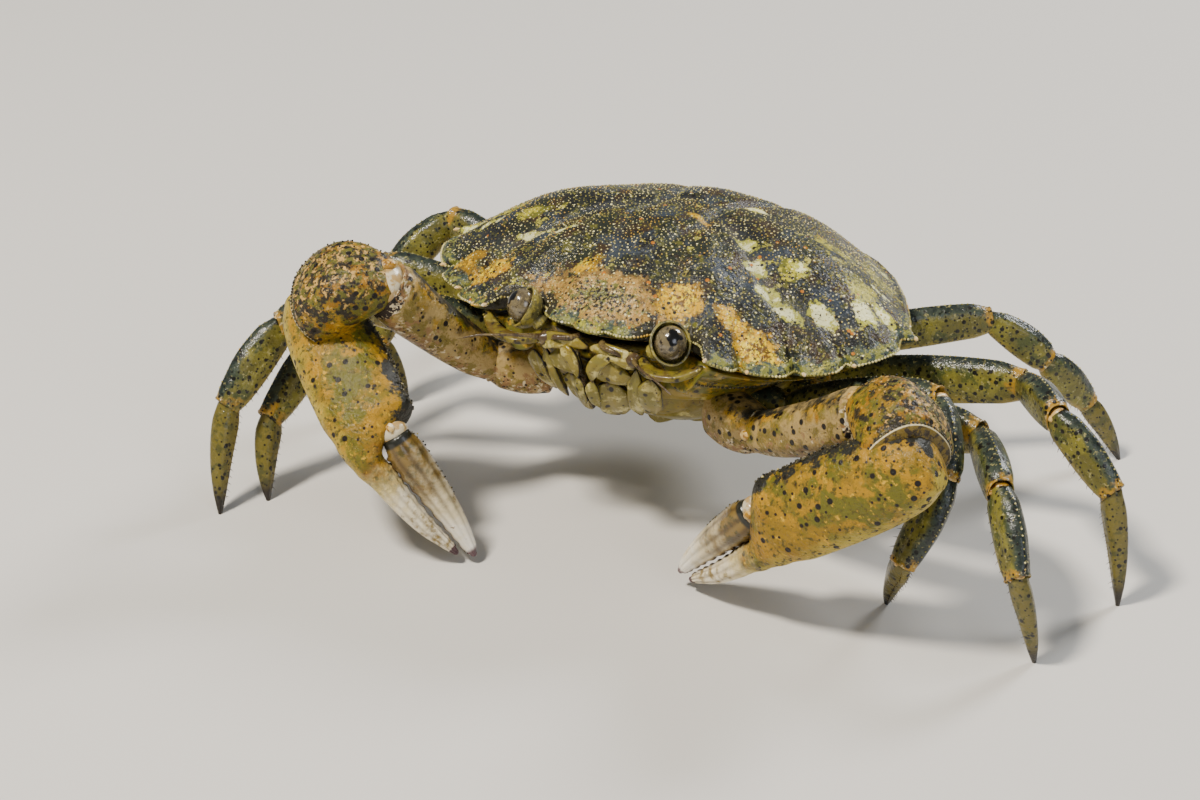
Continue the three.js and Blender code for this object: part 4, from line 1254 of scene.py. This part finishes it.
for side_name, side in SIDES:
    ahead = side_direction((0.3, -1, 0.15), side)
    roots, directions = [], []
    for part, line, widths, heights, crease in MOUTH_PARTS:
        line = [side_point(point, side) for point in line]
        rule = tube_rule(line, widths, heights, ends=0.25, facing=ahead, crease=crease, squareness=0.75)
        nodes = [f"maxilliped_{side_name}"] if part == "jaw_plate" else []
        keep(f"{part}_{side_name}", bent_grid(36, 40, rule), belly_chitin, nodes)
        if part in BRISTLED:
            places = evenly(line, JAW_BRISTLE_SPACING)[0]
            roots.append(places + side_direction((-0.9, -0.3, 0), side) * 0.8)
            directions.append(np.tile(side_direction((-0.85, -0.3, -0.2), side), (len(places), 1)))
    roots, directions = np.concatenate(roots), np.concatenate(directions)
    directions = directions + rng.normal(0, 0.2, directions.shape)
    scatter(f"jaw_bristles_{side_name}", "cone", roots, directions, JAW_BRISTLE_WIDTH,
            rng.uniform(*JAW_BRISTLE_LENGTHS, len(roots)), body_map(roots), bristle_horn)
print("mouthparts:", 2 * len(MOUTH_PARTS))

# %% [markdown]
# ## Feelers
# The long feeler stands on a thick root joint beside the eye and is ringed like a fishing rod. The
# short feelers fold away under the front. The rings are a ripple in the width of the tube.

# %% Feelers
FEELER_LINE = ((7.3, -26.3, -2.4), (8.7, -28.7, -1.9), (10.4, -30.4, -1.8), (12.9, -31.9, -2.0),
               (17.2, -33.4, -3.2))
FEELER_ROOT = ((6.3, -24.8, -2.9), (7.0, -26.2, -2.5), (7.6, -27.3, -2.2))
SHORT_FEELER = ((1.8, -25.6, -1.2), (2.6, -27.2, -1.2), (4.6, -27.8, -1.4), (5.4, -27.0, -2.2),
                (4.2, -27.4, -3.0))
# name, line, widths, how much of the ends is rounded, columns and rows, rings, nodes
FEELERS = (
    ("feeler", FEELER_LINE, (1.0, 0.6, 0.42, 0.32, 0.24), 0.06, (12, 150), 26, ("antenna",)),
    ("feeler_root", FEELER_ROOT, (1.8, 2.2, 1.4), 0.3, (24, 24), 0, ()),
    ("short_feeler", SHORT_FEELER, (1.1, 0.9, 0.7, 0.5, 0.3), 0.06, (12, 90), 18, ()),
)
RING_RISE = 0.06


def ringed(rule, rings):
    """The same rule with fine rings along it."""
    def ringed_rule(around, along):
        points, marks = rule(around, along)
        middle, _ = rule(around + 0.5, along)
        ripple = RING_RISE * np.cos(2 * math.pi * rings * along)[:, None]
        return points + (points - middle) / 2 * ripple, marks
    return ringed_rule


for side_name, side in SIDES:
    for name, line, widths, ends, grid, rings, nodes in FEELERS:
        rule = tube_rule([side_point(point, side) for point in line], widths, ends=ends)
        keep(f"{name}_{side_name}", bent_grid(*grid, ringed(rule, rings) if rings else rule),
             feeler_chitin, [f"{node}_{side_name}" for node in nodes])
print("feelers made")

# %% [markdown]
# ## Where the limbs run
# Each limb is a chain of straight stretches. A stretch has a length, a swing round the body and a rise
# above level, so the pose can be read and changed one joint at a time. The last joint of a leg has no
# rise of its own: it slopes just enough to bring the claw of the foot down to the floor.

# %% Limb lines
ROOTS = {"claw": (22.0, -16.0, -11.6), "leg1": (22.3, -7.9, -10.8), "leg2": (23.0, 0, -10.8),
         "leg3": (21.6, 7.6, -10.1), "leg4": (17.3, 14.4, -7.2)}
ROOT_REACH = 8.6  # how far the root plates run into the body
LEG_PARTS = ("merus", "carpus", "propodus", "dactylus")
CLAW_FACE = unit((0.47, -0.77, 0.44))
# lengths, swings and rises, in millimetres and degrees
CLAW_POSE = {
    "left": ((21.6, 12.4, 22.2, 19.3), (-16, -45, -176, 165), (26, -15, -34, -42)),
    "right": ((22.8, 12.9, 21.2, 20.9), (-64, -12, -150, 156), (43, -36, -31, -54)),
}
LEG_POSE = {
    "leg1_left": ((25.3, 11.0, 12.4, 13.6), (-6, -57, -119, 128), (19, -41, -60)),
    "leg2_left": ((28.8, 13.3, 11.4, 14.4), (-14, -54, -46, 56), (8, -6, -47)),
    "leg3_left": ((28.7, 12.1, 12.2, 17.2), (5, -45, -11, -4), (10, 3, -40)),
    "leg4_left": ((23.7, 10.7, 10.8, 11.6), (35, 26, 48, 36), (7, -35, -47)),
    "leg1_right": ((25.6, 11.1, 13.7, 16.2), (-31, -52, -68, -109), (15, -13, -46)),
    "leg2_right": ((26.6, 13.3, 16.4, 12.3), (-17, -85, -81, -117), (16, -27, -36)),
    "leg3_right": ((26.8, 11.9, 10.9, 12.4), (5, -54, -84, 129), (21, -39, -63)),
    "leg4_right": ((23.7, 10.7, 10.8, 11.6), (32, 20, 40, 30), (8, -30, -50)),
}
STOUT = {"leg1": 1, "leg2": 1, "leg3": 0.97, "leg4": 0.84}


def limb_joints(root, side, pose):
    """The joints of a limb from its root to its tip, where the crab stands."""
    lengths, swings, rises = pose
    joints = [side_point(root, side)]
    for index, length in enumerate(lengths):
        swing = math.radians(swings[index])
        landing = -math.asin(min(1, joints[-1][2] / length))
        rise = math.radians(rises[index]) if index < len(rises) else landing
        step = (side * math.cos(swing) * math.cos(rise), math.sin(swing) * math.cos(rise), math.sin(rise))
        joints.append(joints[-1] + np.array(step) * length)
    return joints


# %% [markdown]
# ## Plates of the limbs
# Each plate is a sheet rolled round its stretch. Its outline comes from a few stations: place along the
# stretch, depth, thickness and lift. A circle to a power of 2.4 gives the slightly squared section
# that a leg has. The near end is a dome that tucks into the plate before it, and the far end is a
# rolled rim round a shallow cup, where the next plate and the joint skin sit. The wrist, the hand, the
# fingers and the feet end in a dome instead. Ridges and furrows are added by a rule of the angle round
# the limb and the place along it.

# %% Limb plate helper
SECTION_POWER = 2.4
NEAR_END, FAR_END = 0.08, 0.86  # shares of the rows where the plate proper starts and ends
DOME_LENGTH = 0.9
WRIST_DOME, CLAW_TIP, FOOT_TIP = 1.7, 0.5, 0.3  # how far the rounded far ends stand out
CROSSWISE = np.array([0.0, 1.0, 0.0])  # the thin way of the root plates
# how the far end rolls in: share of its rows, size of the section, and way along in millimetres
CUP_ROLL = np.array([(0, 1, 0), (0.15, 1.05, 0.25), (0.3, 1.02, 0.5), (0.45, 0.9, 0.42), (0.6, 0.82, -0.5),
                     (0.8, 0.74, -1.2), (1, 0, -1.3)])


def stations_of(start, end, across, profile, stout=1.0, above=None):
    """Rows of centre, up, thin direction, depth and thickness along one stretch."""
    run = np.asarray(end, float) - start
    along = unit(run)
    thin = unit(across - along * np.dot(across, along))
    up = np.cross(thin, along)
    if up[2] < 0:
        up = -up
    sign = 1 if above is None or np.dot(up, above) > 0 else -1
    rows = []
    for share, depth, thickness, lift in profile:
        centre = start + run * share + up * lift * stout
        rows.append(np.concatenate([centre, up * sign, thin, [depth * stout, thickness * stout]]))
    return np.array(rows)


def plate_rule(stations, shape=None, dome=None, extra_marks=None):
    """A rule that rolls the sheet into a plate through its stations: its far end is a cup or a dome."""
    first_run = unit(stations[1, :3] - stations[0, :3])
    last_run = unit(stations[-1, :3] - stations[-2, :3])

    def rule(around, along):
        angle = 2 * math.pi * around
        place = np.clip((along - NEAR_END) / (FAR_END - NEAR_END), 0, 1)
        at = smooth_line(stations, place)
        near = np.clip(1 - along / NEAR_END, 0, 1)
        far = np.clip((along - FAR_END) / (1 - FAR_END), 0, 1)
        size = np.sqrt(np.clip(1 - near**2, 0, 1))
        shift = -near[:, None] * first_run * DOME_LENGTH
        if dome is not None:
            size = size * np.sqrt(np.clip(1 - far**2, 0, 1))
            shift = shift + (far * dome)[:, None] * last_run
        else:
            size = size * np.interp(far, CUP_ROLL[:, 0], CUP_ROLL[:, 1])
            shift = shift + np.interp(far, CUP_ROLL[:, 0], CUP_ROLL[:, 2])[:, None] * last_run
        cos, sin = np.cos(angle), np.sin(angle)
        radius = (np.abs(cos) ** SECTION_POWER + np.abs(sin) ** SECTION_POWER) ** (-1 / SECTION_POWER)
        swell = shape(angle, place) if shape else np.zeros(len(angle))
        up, thin = unit(at[:, 3:6]), unit(at[:, 6:9])
        high = (at[:, 9] / 2 * radius + swell) * size * cos
        wide = (at[:, 10] / 2 * radius + swell) * size * sin
        points = at[:, :3] + shift + up * high[:, None] + thin * wide[:, None]
        marks = {"upper": cos, "along": place, "cap": far * (dome == WRIST_DOME)}
        if extra_marks:
            marks.update(extra_marks(angle, place))
        return points, marks

    return rule


def ridge(angle, at, width):
    """A ridge that runs along the limb at one angle from its upper edge."""
    turn = (angle - at + math.pi) % (2 * math.pi) - math.pi
    return wave(turn, width)


def line_on(rule, at, start, end, count=120):
    """Points along a plate at one angle, for rows of beads or bristles."""
    along = np.linspace(NEAR_END + (FAR_END - NEAR_END) * start, NEAR_END + (FAR_END - NEAR_END) * end, count)
    return rule(np.full(count, at / (2 * math.pi) % 1), along)[0]


# %% [markdown]
# ## Walking legs
# A walking leg has a long upper plate, a short knee, a shin and a pointed foot. The upper edge carries
# a keel, the shin is slightly hollow on both faces, and the foot has four ridges with grooves
# between. The root plate by the body is plain and half hidden.

# %% Leg shapes
# stations: share of the way, depth, thickness and lift
LEG_PROFILE = {
    "base": ((0, 6.0, 5.6, 0), (0.3, 6.8, 6.0, 0), (0.75, 6.2, 5.0, 0), (1, 4.6, 3.8, 0)),
    "merus": ((0, 4.4, 3.4, 0), (0.16, 6.2, 4.0, 0.1), (0.5, 7.0, 4.2, 0.3), (0.88, 6.2, 4.0, 0.2),
              (1, 4.6, 3.4, 0)),
    "carpus": ((0, 3.4, 3.0, 0), (0.18, 4.8, 3.7, 0.2), (0.6, 5.9, 4.1, 0.3), (0.9, 5.3, 3.9, 0.1),
               (1, 4.4, 3.4, 0)),
    "propodus": ((0, 3.6, 2.9, 0), (0.18, 5.2, 3.6, 0.1), (0.5, 5.6, 3.7, 0.2), (0.85, 4.8, 3.4, 0),
                 (1, 4.0, 3.0, 0)),
    "dactylus": ((0, 3.0, 2.5, 0), (0.18, 3.7, 2.7, 0.2), (0.5, 3.0, 2.2, 0.45), (0.8, 1.8, 1.5, 0.3),
                 (1, 0.6, 0.6, 0)),
}


def leg_swell(part):
    """Ridges and furrows of one kind of leg plate, in millimetres."""
    def swell(angle, place):
        body = between_ends(place)
        keel = 0.28 * ridge(angle, 0, 0.30) * body
        if part == "merus":
            return keel + 0.12 * (ridge(angle, 2.5, 0.3) + ridge(angle, -2.5, 0.3)) * body
        if part == "carpus":
            return keel + 0.2 * (ridge(angle, 0.9, 0.25) + ridge(angle, -0.9, 0.25)) * body
        if part == "propodus":
            hollow = ridge(angle, math.pi / 2, 0.35) + ridge(angle, -math.pi / 2, 0.35)
            return keel - 0.22 * hollow * body + 0.14 * ridge(angle, math.pi, 0.3) * body
        return 0.20 * np.cos(4 * angle) * body * (1 - 0.6 * place)
    return swell


def last_mark(is_last):
    """Marks a whole plate as the last of its limb, or as another one."""
    return lambda angle, place: {"last": np.full(len(place), float(is_last))}


COLUMNS, ROWS = 40, 44
leg_rules = {}
membranes = []  # the joints: limb, place, direction, hinge line, depth and thickness

for limb, pose in LEG_POSE.items():
    leg, side_name = limb.split("_")
    side = 1 if side_name == "left" else -1
    stout = STOUT[leg]
    joints = limb_joints(ROOTS[leg], side, pose)
    reach = joints[3] - joints[0]
    across = unit((reach[1], -reach[0], 0))
    inner = joints[0] + unit((-side, 0, -0.12)) * ROOT_REACH
    stations = stations_of(inner, joints[0], CROSSWISE, LEG_PROFILE["base"], stout)
    rule = plate_rule(stations, extra_marks=last_mark(0))
    keep(f"{limb}_base_plate", bent_grid(COLUMNS, ROWS // 2, rule), leg_chitin, [f"{limb}_base"])
    for index, part in enumerate(LEG_PARTS):
        is_foot = part == "dactylus"
        stations = stations_of(joints[index], joints[index + 1], across, LEG_PROFILE[part], stout)
        rule = plate_rule(stations, leg_swell(part), FOOT_TIP if is_foot else None, last_mark(is_foot))
        leg_rules[limb, part] = rule
        keep(f"{limb}_{part}_plate", bent_grid(COLUMNS, ROWS, rule), leg_chitin, [f"{limb}_{part}"])
        _, depth, thickness, _ = LEG_PROFILE[part][0]
        before = joints[index] - joints[index - 1] if index else joints[0] - inner
        after = joints[index + 1] - joints[index]
        membranes.append((limb, joints[index], unit(unit(before) + unit(after)), across,
                          depth * stout, thickness * stout))
print("leg plates:", 5 * len(LEG_POSE))

# %% [markdown]
# ## Claws
# A claw is the same chain, grown stout: a short arm, a knobbly wrist, and a hand whose lower part runs
# on into the fixed finger. The hand and that finger are one plate in life, so one sheet is rolled
# through the stations of both. The upper finger is a plate of its own, hinged at the hand's end. The
# right wrist lies flatter than the left one, so it has a profile of its own.

# %% Claw shapes
# stations: share of the way, depth, thickness and lift
CLAW_PROFILE = {
    "base": ((0, 7.6, 6.8, -0.3), (0.35, 8.0, 7.2, -0.5), (0.8, 7.2, 6.4, -0.5), (1, 5.8, 5.2, -0.3)),
    "merus": ((0, 5.6, 5.4, -0.4), (0.15, 6.4, 6.2, -0.8), (0.6, 7.6, 7.0, -0.9), (0.9, 8.4, 7.6, -0.5),
              (1, 7.2, 6.8, -0.2)),
    "carpus": ((-0.12, 6.2, 6.8, 1.4), (0.03, 9.2, 9.8, 2.2), (0.28, 11.2, 12.0, 3.0),
               (0.60, 11.8, 12.8, 2.9), (0.86, 10.8, 11.8, 2.3)),
    "palm": ((-0.23, 7.4, 6.8, 0), (-0.08, 10.6, 8.5, 0.1), (0.15, 12.1, 8.8, 0.2), (0.42, 12.7, 8.4, 0.3),
             (0.70, 12.4, 7.8, 0.2), (0.90, 11.0, 6.8, 0.1)),
    "fixed": ((0.10, 4.7, 4.5, 0), (0.24, 4.0, 3.8, -0.1), (0.42, 3.5, 3.3, -0.4), (0.7, 2.7, 2.5, -0.5),
              (0.93, 1.5, 1.4, -0.1), (1, 0.9, 0.9, 0)),
    "dactylus": ((0.02, 4.2, 3.8, 0), (0.14, 5.1, 4.6, 0), (0.4, 4.5, 3.9, 0.2), (0.72, 3.2, 2.8, 0.3),
                 (0.94, 1.8, 1.7, 0.1), (1, 1.0, 1.0, 0)),
}
WRIST_PROFILE = {
    "left": CLAW_PROFILE["carpus"],
    "right": ((-0.12, 6.0, 6.8, 1.6), (0.03, 8.6, 9.8, 2.6), (0.28, 9.9, 12.0, 3.7), (0.60, 10.0, 12.8, 3.8),
              (0.86, 9.0, 11.8, 3.2)),
}
FINGER_SPREAD, TIP_SPREAD, FIXED_SHARE = 2.75, 0.95, 0.93  # how far the fingers stand apart and reach
GROOVES, GROOVE_WIDTH = (0.75, 1.5, 2.2, -0.75, -1.5, -2.2), 0.16  # angles from the upper edge
TOOTH_COUNT, TOOTH_WIDTH, TEETH_END, TEETH_SHRINK = 11, 0.45, 0.97, 0.6
PALM_STATIONS = len(CLAW_PROFILE["palm"])
FINGER_FROM = PALM_STATIONS / (PALM_STATIONS + len(CLAW_PROFILE["fixed"]) - 1)  # where the finger starts
CLAW_COLUMNS, CLAW_ROWS, PALM_ROWS = 72, 90, 150


def finger_groove(angle):
    """Long furrows on both faces of a finger."""
    return sum(ridge(angle, at, GROOVE_WIDTH) for at in GROOVES)


def teeth_bumps(angle, place, edge_angle, start):
    """Blunt teeth along one edge of a finger."""
    run = np.clip((place - start) / (TEETH_END - start), 0, 1)
    row = (0.5 - 0.5 * np.cos(2 * math.pi * TOOTH_COUNT * run)) * (run > 0) * (1 - TEETH_SHRINK * run)
    return ridge(angle, edge_angle, TOOTH_WIDTH) * row


def palm_swell(angle, place):
    """Two keels on the hand, the rim where the upper finger is hinged, and the fixed finger's teeth."""
    on_finger = eased(place, FINGER_FROM - 0.02, FINGER_FROM + 0.08)
    body = between_ends(place / FINGER_FROM) * (1 - on_finger)
    rim = wave(place - (FINGER_FROM - 0.12), 0.03) * eased(np.cos(angle), -0.2, 0.4) * 0.35
    keels = 0.3 * (ridge(angle, 0.25, 0.2) + ridge(angle, -0.25, 0.2)) * body
    teeth = 0.45 * teeth_bumps(angle, place, 0, FINGER_FROM + 0.06)
    return keels + rim - 0.12 * finger_groove(angle) * on_finger + teeth


def palm_marks(angle, place):
    """Where the white finger with its grooves, teeth and dark end lies on the hand."""
    on_finger = eased(place, FINGER_FROM - 0.16, FINGER_FROM + 0.30)
    return {
        "tooth": ridge(angle, 0, 0.42) * eased(place, FINGER_FROM + 0.04, FINGER_FROM + 0.1),
        "groove": 0.6 * finger_groove(angle) * on_finger,
        "finger": on_finger,
        "end": eased(place, 0.88, 0.98),
        "along": np.clip(place / FINGER_FROM, 0, 1),
    }


def finger_swell(angle, place):
    """Grooves, a keel and teeth on the upper finger."""
    body = between_ends(place)
    return (-0.14 * finger_groove(angle) * body + 0.15 * ridge(angle, 0, 0.3) * body
            + 0.4 * teeth_bumps(angle, place, math.pi, 0.12))


def finger_marks(angle, place):
    """The grooves and the toothed edge of the upper finger."""
    tooth = ridge(angle, math.pi, 0.5) * eased(place, 0.1, 0.2)
    return {"groove": 0.7 * finger_groove(angle), "tooth": tooth}


def arm_swell(angle, place):
    """A low keel on the arm's upper edge and one on each lower corner."""
    return 0.25 * ridge(angle, 0, 0.3) + 0.2 * ridge(angle, 1.9, 0.25) + 0.2 * ridge(angle, -1.9, 0.25)


def arm_marks(bare, across, mottle, at_elbow=0.0):
    """How bare the arm is, less so on its upper edge and more at the elbow, and how mottled."""
    return lambda angle, place: {
        "bare": bare - across * np.cos(angle) + at_elbow * eased(place, 0.8, 0.9),
        "mottle": np.full(len(place), mottle),
    }


def carpus_swell(angle, place):
    """Two broad keels with a dip between them, and a swollen far rim."""
    keels = 0.35 * ridge(angle, 0.9, 0.3) + 0.35 * ridge(angle, -0.9, 0.3) - 0.25 * ridge(angle, 0, 0.3)
    return between_ends(place) * keels + 0.3 * wave(place - 0.93, 0.04)


def carpus_marks(angle, place):
    """The wrist is mottled all over, and its upper edge is less dark than the hand's."""
    return {"mottle": 0.9 + 0.3 * np.cos(angle), "upper": 0.7 * np.cos(angle)}


claw_rules, hand_ways = {}, {}
for side_name, side in SIDES:
    claw = f"claw_{side_name}"
    joints = limb_joints(ROOTS["claw"], side, CLAW_POSE[side_name])
    root, elbow, wrist, knuckle, tip = joints
    palm_along, arm_along = unit(knuckle - wrist), unit(elbow - root)
    palm_thin = unit(CLAW_FACE - palm_along * np.dot(CLAW_FACE, palm_along))
    palm_up = np.cross(palm_thin, palm_along) * -side
    elbow_across = unit(np.cross(arm_along, palm_along))
    level_across = unit((arm_along[1], -arm_along[0], 0))
    inner = root + unit((-side, 0.45, -0.05)) * ROOT_REACH
    fixed_root = knuckle - palm_up * FINGER_SPREAD
    fixed_tip = knuckle + (tip - knuckle) * FIXED_SHARE - palm_up * TIP_SPREAD
    finger_root, finger_tip = knuckle + palm_up * FINGER_SPREAD, tip + palm_up * TIP_SPREAD

    palm_stations = np.concatenate([
        stations_of(wrist, knuckle, palm_thin, CLAW_PROFILE["palm"], above=palm_up),
        stations_of(fixed_root, fixed_tip, palm_thin, CLAW_PROFILE["fixed"], above=palm_up),
    ])
    finger_stations = stations_of(finger_root, finger_tip, palm_thin, CLAW_PROFILE["dactylus"], above=palm_up)
    # part, stations, ridges, how far a rounded far end stands out, marks
    plates = (
        ("base", stations_of(inner, root, CROSSWISE, CLAW_PROFILE["base"]), None, None,
         arm_marks(0.8, 0.3, 0.6)),
        ("merus", stations_of(root, elbow, level_across, CLAW_PROFILE["merus"]), arm_swell, None,
         arm_marks(0.7, 0.32, 0.8, at_elbow=0.5)),
        ("carpus", stations_of(elbow, wrist, elbow_across, WRIST_PROFILE[side_name]), carpus_swell,
         WRIST_DOME, carpus_marks),
        ("palm", palm_stations, palm_swell, CLAW_TIP, palm_marks),
        ("finger", finger_stations, finger_swell, CLAW_TIP, finger_marks),
    )
    for part, stations, swell, dome, marks in plates:
        rule = plate_rule(stations, swell, dome, marks)
        claw_rules[claw, part] = rule
        rows = PALM_ROWS if part == "palm" else CLAW_ROWS
        material, slot = (finger_chitin, "finger") if part == "finger" else (claw_chitin, "claw")
        keep(f"{claw}_{part}_plate", bent_grid(CLAW_COLUMNS, rows, rule), material, [f"{claw}_{part}"])
    hand_ways[claw] = palm_along
    # place, direction, hinge line, depth and thickness of each joint
    for place, run, across, depth, thickness in (
        (root, arm_along + unit(root - inner), level_across, 6.0, 5.6),
        (elbow, arm_along + unit(wrist - elbow), elbow_across, 8.0, 7.6),
        (wrist + (elbow - wrist) * 0.12, palm_along, elbow_across, 6.4, 8.0),
        (finger_root - palm_along * 0.3, palm_along, palm_thin, 4.6, 4.4),
    ):
        membranes.append((claw, place, unit(run), across, depth, thickness))
print("claw plates:", len(claw_rules))

# %% [markdown]
# ## Joint skin and hinge knobs
# Between two plates the skin bulges a little where the joint is bent, and on each side a hard orange
# knob makes the hinge. The skin is a ball squashed along the limb, and the knobs are small ovals
# set on the hinge line. Joining the plates with a smooth skin would hide that they are armour.

# %% Joint skin and knobs
SKIN_REACH = (0.34, 0.47, 0.46)  # half its size along the limb, in depth and in thickness, as shares
KNOB_SHARE, KNOB_REACH = 0.13, (1.2, 1, 0.7)
SKIN_SEGMENTS, KNOB_SEGMENTS = 28, 16


def oval(bm, centre, axes, radii, segments):
    """Adds a ball stretched along three directions."""
    made = bmesh.ops.create_uvsphere(bm, u_segments=segments, v_segments=segments // 2, radius=1)
    columns = [[*(np.asarray(axis) * radius)] for axis, radius in zip(axes, radii)]
    turn = Matrix(columns).transposed().to_4x4()
    turn.translation = Vector(centre)
    bmesh.ops.transform(bm, matrix=turn, verts=made["verts"])


skins, knobs = {}, {}
for limb, centre, run, across, depth, thickness in membranes:
    thin = unit(across - run * np.dot(across, run))
    high = np.cross(thin, run)
    skins.setdefault(limb, bmesh.new())
    knobs.setdefault(limb, bmesh.new())
    half = np.array((depth, depth, thickness)) * SKIN_REACH
    oval(skins[limb], centre, (run, high, thin), half, SKIN_SEGMENTS)
    for way in (1, -1):
        oval(knobs[limb], centre + thin * way * half[2], (run, high, thin),
             np.array(KNOB_REACH) * KNOB_SHARE * depth, KNOB_SEGMENTS)
for limb in skins:
    slot = "claw" if limb.startswith("claw") else "leg"
    for kind, shapes in (("skin", skins), ("knobs", knobs)):
        bmesh.ops.recalc_face_normals(shapes[limb], faces=shapes[limb].faces)
        material = pale_skin if kind == "skin" and slot == "claw" else joint_skin
        keep(f"{limb}_joint_{kind}", shapes[limb], material)
print("joints:", len(membranes))

# %% [markdown]
# ## Beads, spines and bristles of the limbs
# Rows of dark beads roughen the back of each hand, the wrist and the upper finger. The wrist ends in a
# blunt spine on its inner side. On the legs, ivory beads follow the keel, and stiff bristles fringe the
# shins and feet. Rows are walked along the plates' own rules, so each grain sits on the surface that
# it grows from.

# %% Claw beads and spines
STRIPS = 80  # strips of the flat map
BEAD_JITTER, BEAD_VARIETY = 0.12, (0.65, 1.1)
HAND_ROWS = (-0.42, -0.28, -0.12, 0.05, 0.2, 0.35)  # angles from the upper edge
WRIST_ROWS = np.linspace(-1.5, 1.5, 16)
FINGER_ROWS = (-0.2, 0.2)
SPINE_WIDTH, SPINE_LENGTH, SPINE_INSET = 0.75, 2.6, 0.12
WRIST_RIM_BEAD, WRIST_RIM_SPACING, WRIST_RIM_SAMPLES = 0.22, 0.55, 200


def strip_map(shares, at, tile):
    """Roots on a flat map where each plate has a strip of its own."""
    return np.column_stack([shares, np.full(len(shares), (tile + at % 1) / STRIPS)])


def bead_rows(name, rule, angles, start, end, spacing, size, tile):
    """Rows of dark beads along a plate, one at each angle."""
    places, roots = [], []
    for number, at in enumerate(angles):
        row, shares = evenly(line_on(rule, at, start, end), spacing)
        places.append(row + rng.normal(0, BEAD_JITTER, row.shape))
        roots.append(strip_map(shares, number / len(angles), tile))
    places, roots = np.concatenate(places), np.concatenate(roots)
    scatter_beads(name, places, rng.uniform(*BEAD_VARIETY, len(places)) * size, roots, dark_chalk)
    return len(places)


beads = 0
for number, claw in enumerate(hand_ways):
    wrist_rule, tile = claw_rules[claw, "carpus"], 10 * number
    beads += bead_rows(f"{claw}_hand_beads", claw_rules[claw, "palm"], HAND_ROWS, 0.08, FINGER_FROM - 0.12,
                       0.95, 0.24, tile)
    beads += bead_rows(f"{claw}_wrist_beads", wrist_rule, WRIST_ROWS, 0.08, 0.96, 0.95, 0.17,
                       tile + 1)
    beads += bead_rows(f"{claw}_finger_beads", claw_rules[claw, "finger"], FINGER_ROWS, 0.05, 0.5, 0.8, 0.17,
                       tile + 2)
    rim = wrist_rule(np.linspace(0, 1, WRIST_RIM_SAMPLES), np.full(WRIST_RIM_SAMPLES, FAR_END))[0]
    middle = rim.mean(axis=0)
    inmost = rim[np.linalg.norm(rim - on_body((0, -26, 0)), axis=1).argmin()]  # nearest to the mouth
    scatter(f"{claw}_wrist_spine", "cone", (inmost + (middle - inmost) * SPINE_INSET)[None],
            unit(inmost - middle) + hand_ways[claw] * 0.5, SPINE_WIDTH, SPINE_LENGTH,
            strip_map(np.array([0.5]), 0.5, tile + 4), tip_chalk)
    row, shares = evenly(rim, WRIST_RIM_SPACING)
    scatter_beads(f"{claw}_wrist_rim_beads", row, WRIST_RIM_BEAD, strip_map(shares, 0, tile + 3), dark_chalk)
print("claw beads:", beads)

# %% Bristles and keel beads of the legs
BRISTLE_WIDTH, BRISTLE_LENGTHS, BRISTLE_LEAN, BRISTLE_STRAY = 0.06, (0.3, 0.75), 0.7, 0.18
BRISTLE_ANGLES = (math.pi, 2.5, -2.5)
# part, start, end and spacing of its rows
BRISTLE_ROWS = (("propodus", 0.25, 1.0, 1.1), ("dactylus", 0.05, 0.8, 0.9))
KEEL_SPACING, KEEL_BEADS = 0.8, (0.09, 0.17)
bristle_count = 0
for number, limb in enumerate(LEG_POSE):
    places, directions, roots = [], [], []
    for part, start, end, spacing in BRISTLE_ROWS:
        rule = leg_rules[limb, part]
        for at in BRISTLE_ANGLES:
            row, shares = evenly(line_on(rule, at, start, end), spacing)
            outward = unit(row - line_on(rule, at + math.pi, start, end, len(row)))
            run = unit(np.gradient(row, axis=0))
            places.append(row)
            directions.append(outward + run * BRISTLE_LEAN + rng.normal(0, BRISTLE_STRAY, row.shape))
            roots.append(strip_map(shares, at / 7, 20 + number))
    places, directions, roots = (np.concatenate(rows) for rows in (places, directions, roots))
    scatter(f"{limb}_bristles", "cone", places, directions, BRISTLE_WIDTH,
            rng.uniform(*BRISTLE_LENGTHS, len(places)), roots, bristle_horn)
    bristle_count += len(places)
    keel = [evenly(line_on(leg_rules[limb, part], 0, 0.1, 0.95), KEEL_SPACING) for part in LEG_PARTS[:-1]]
    places, shares = (np.concatenate(rows) for rows in zip(*keel))
    scatter_beads(f"{limb}_keel_beads", places, rng.uniform(*KEEL_BEADS, len(places)),
                  strip_map(shares, 0.5, 30 + number), granule_chalk)
print("leg bristles:", bristle_count)
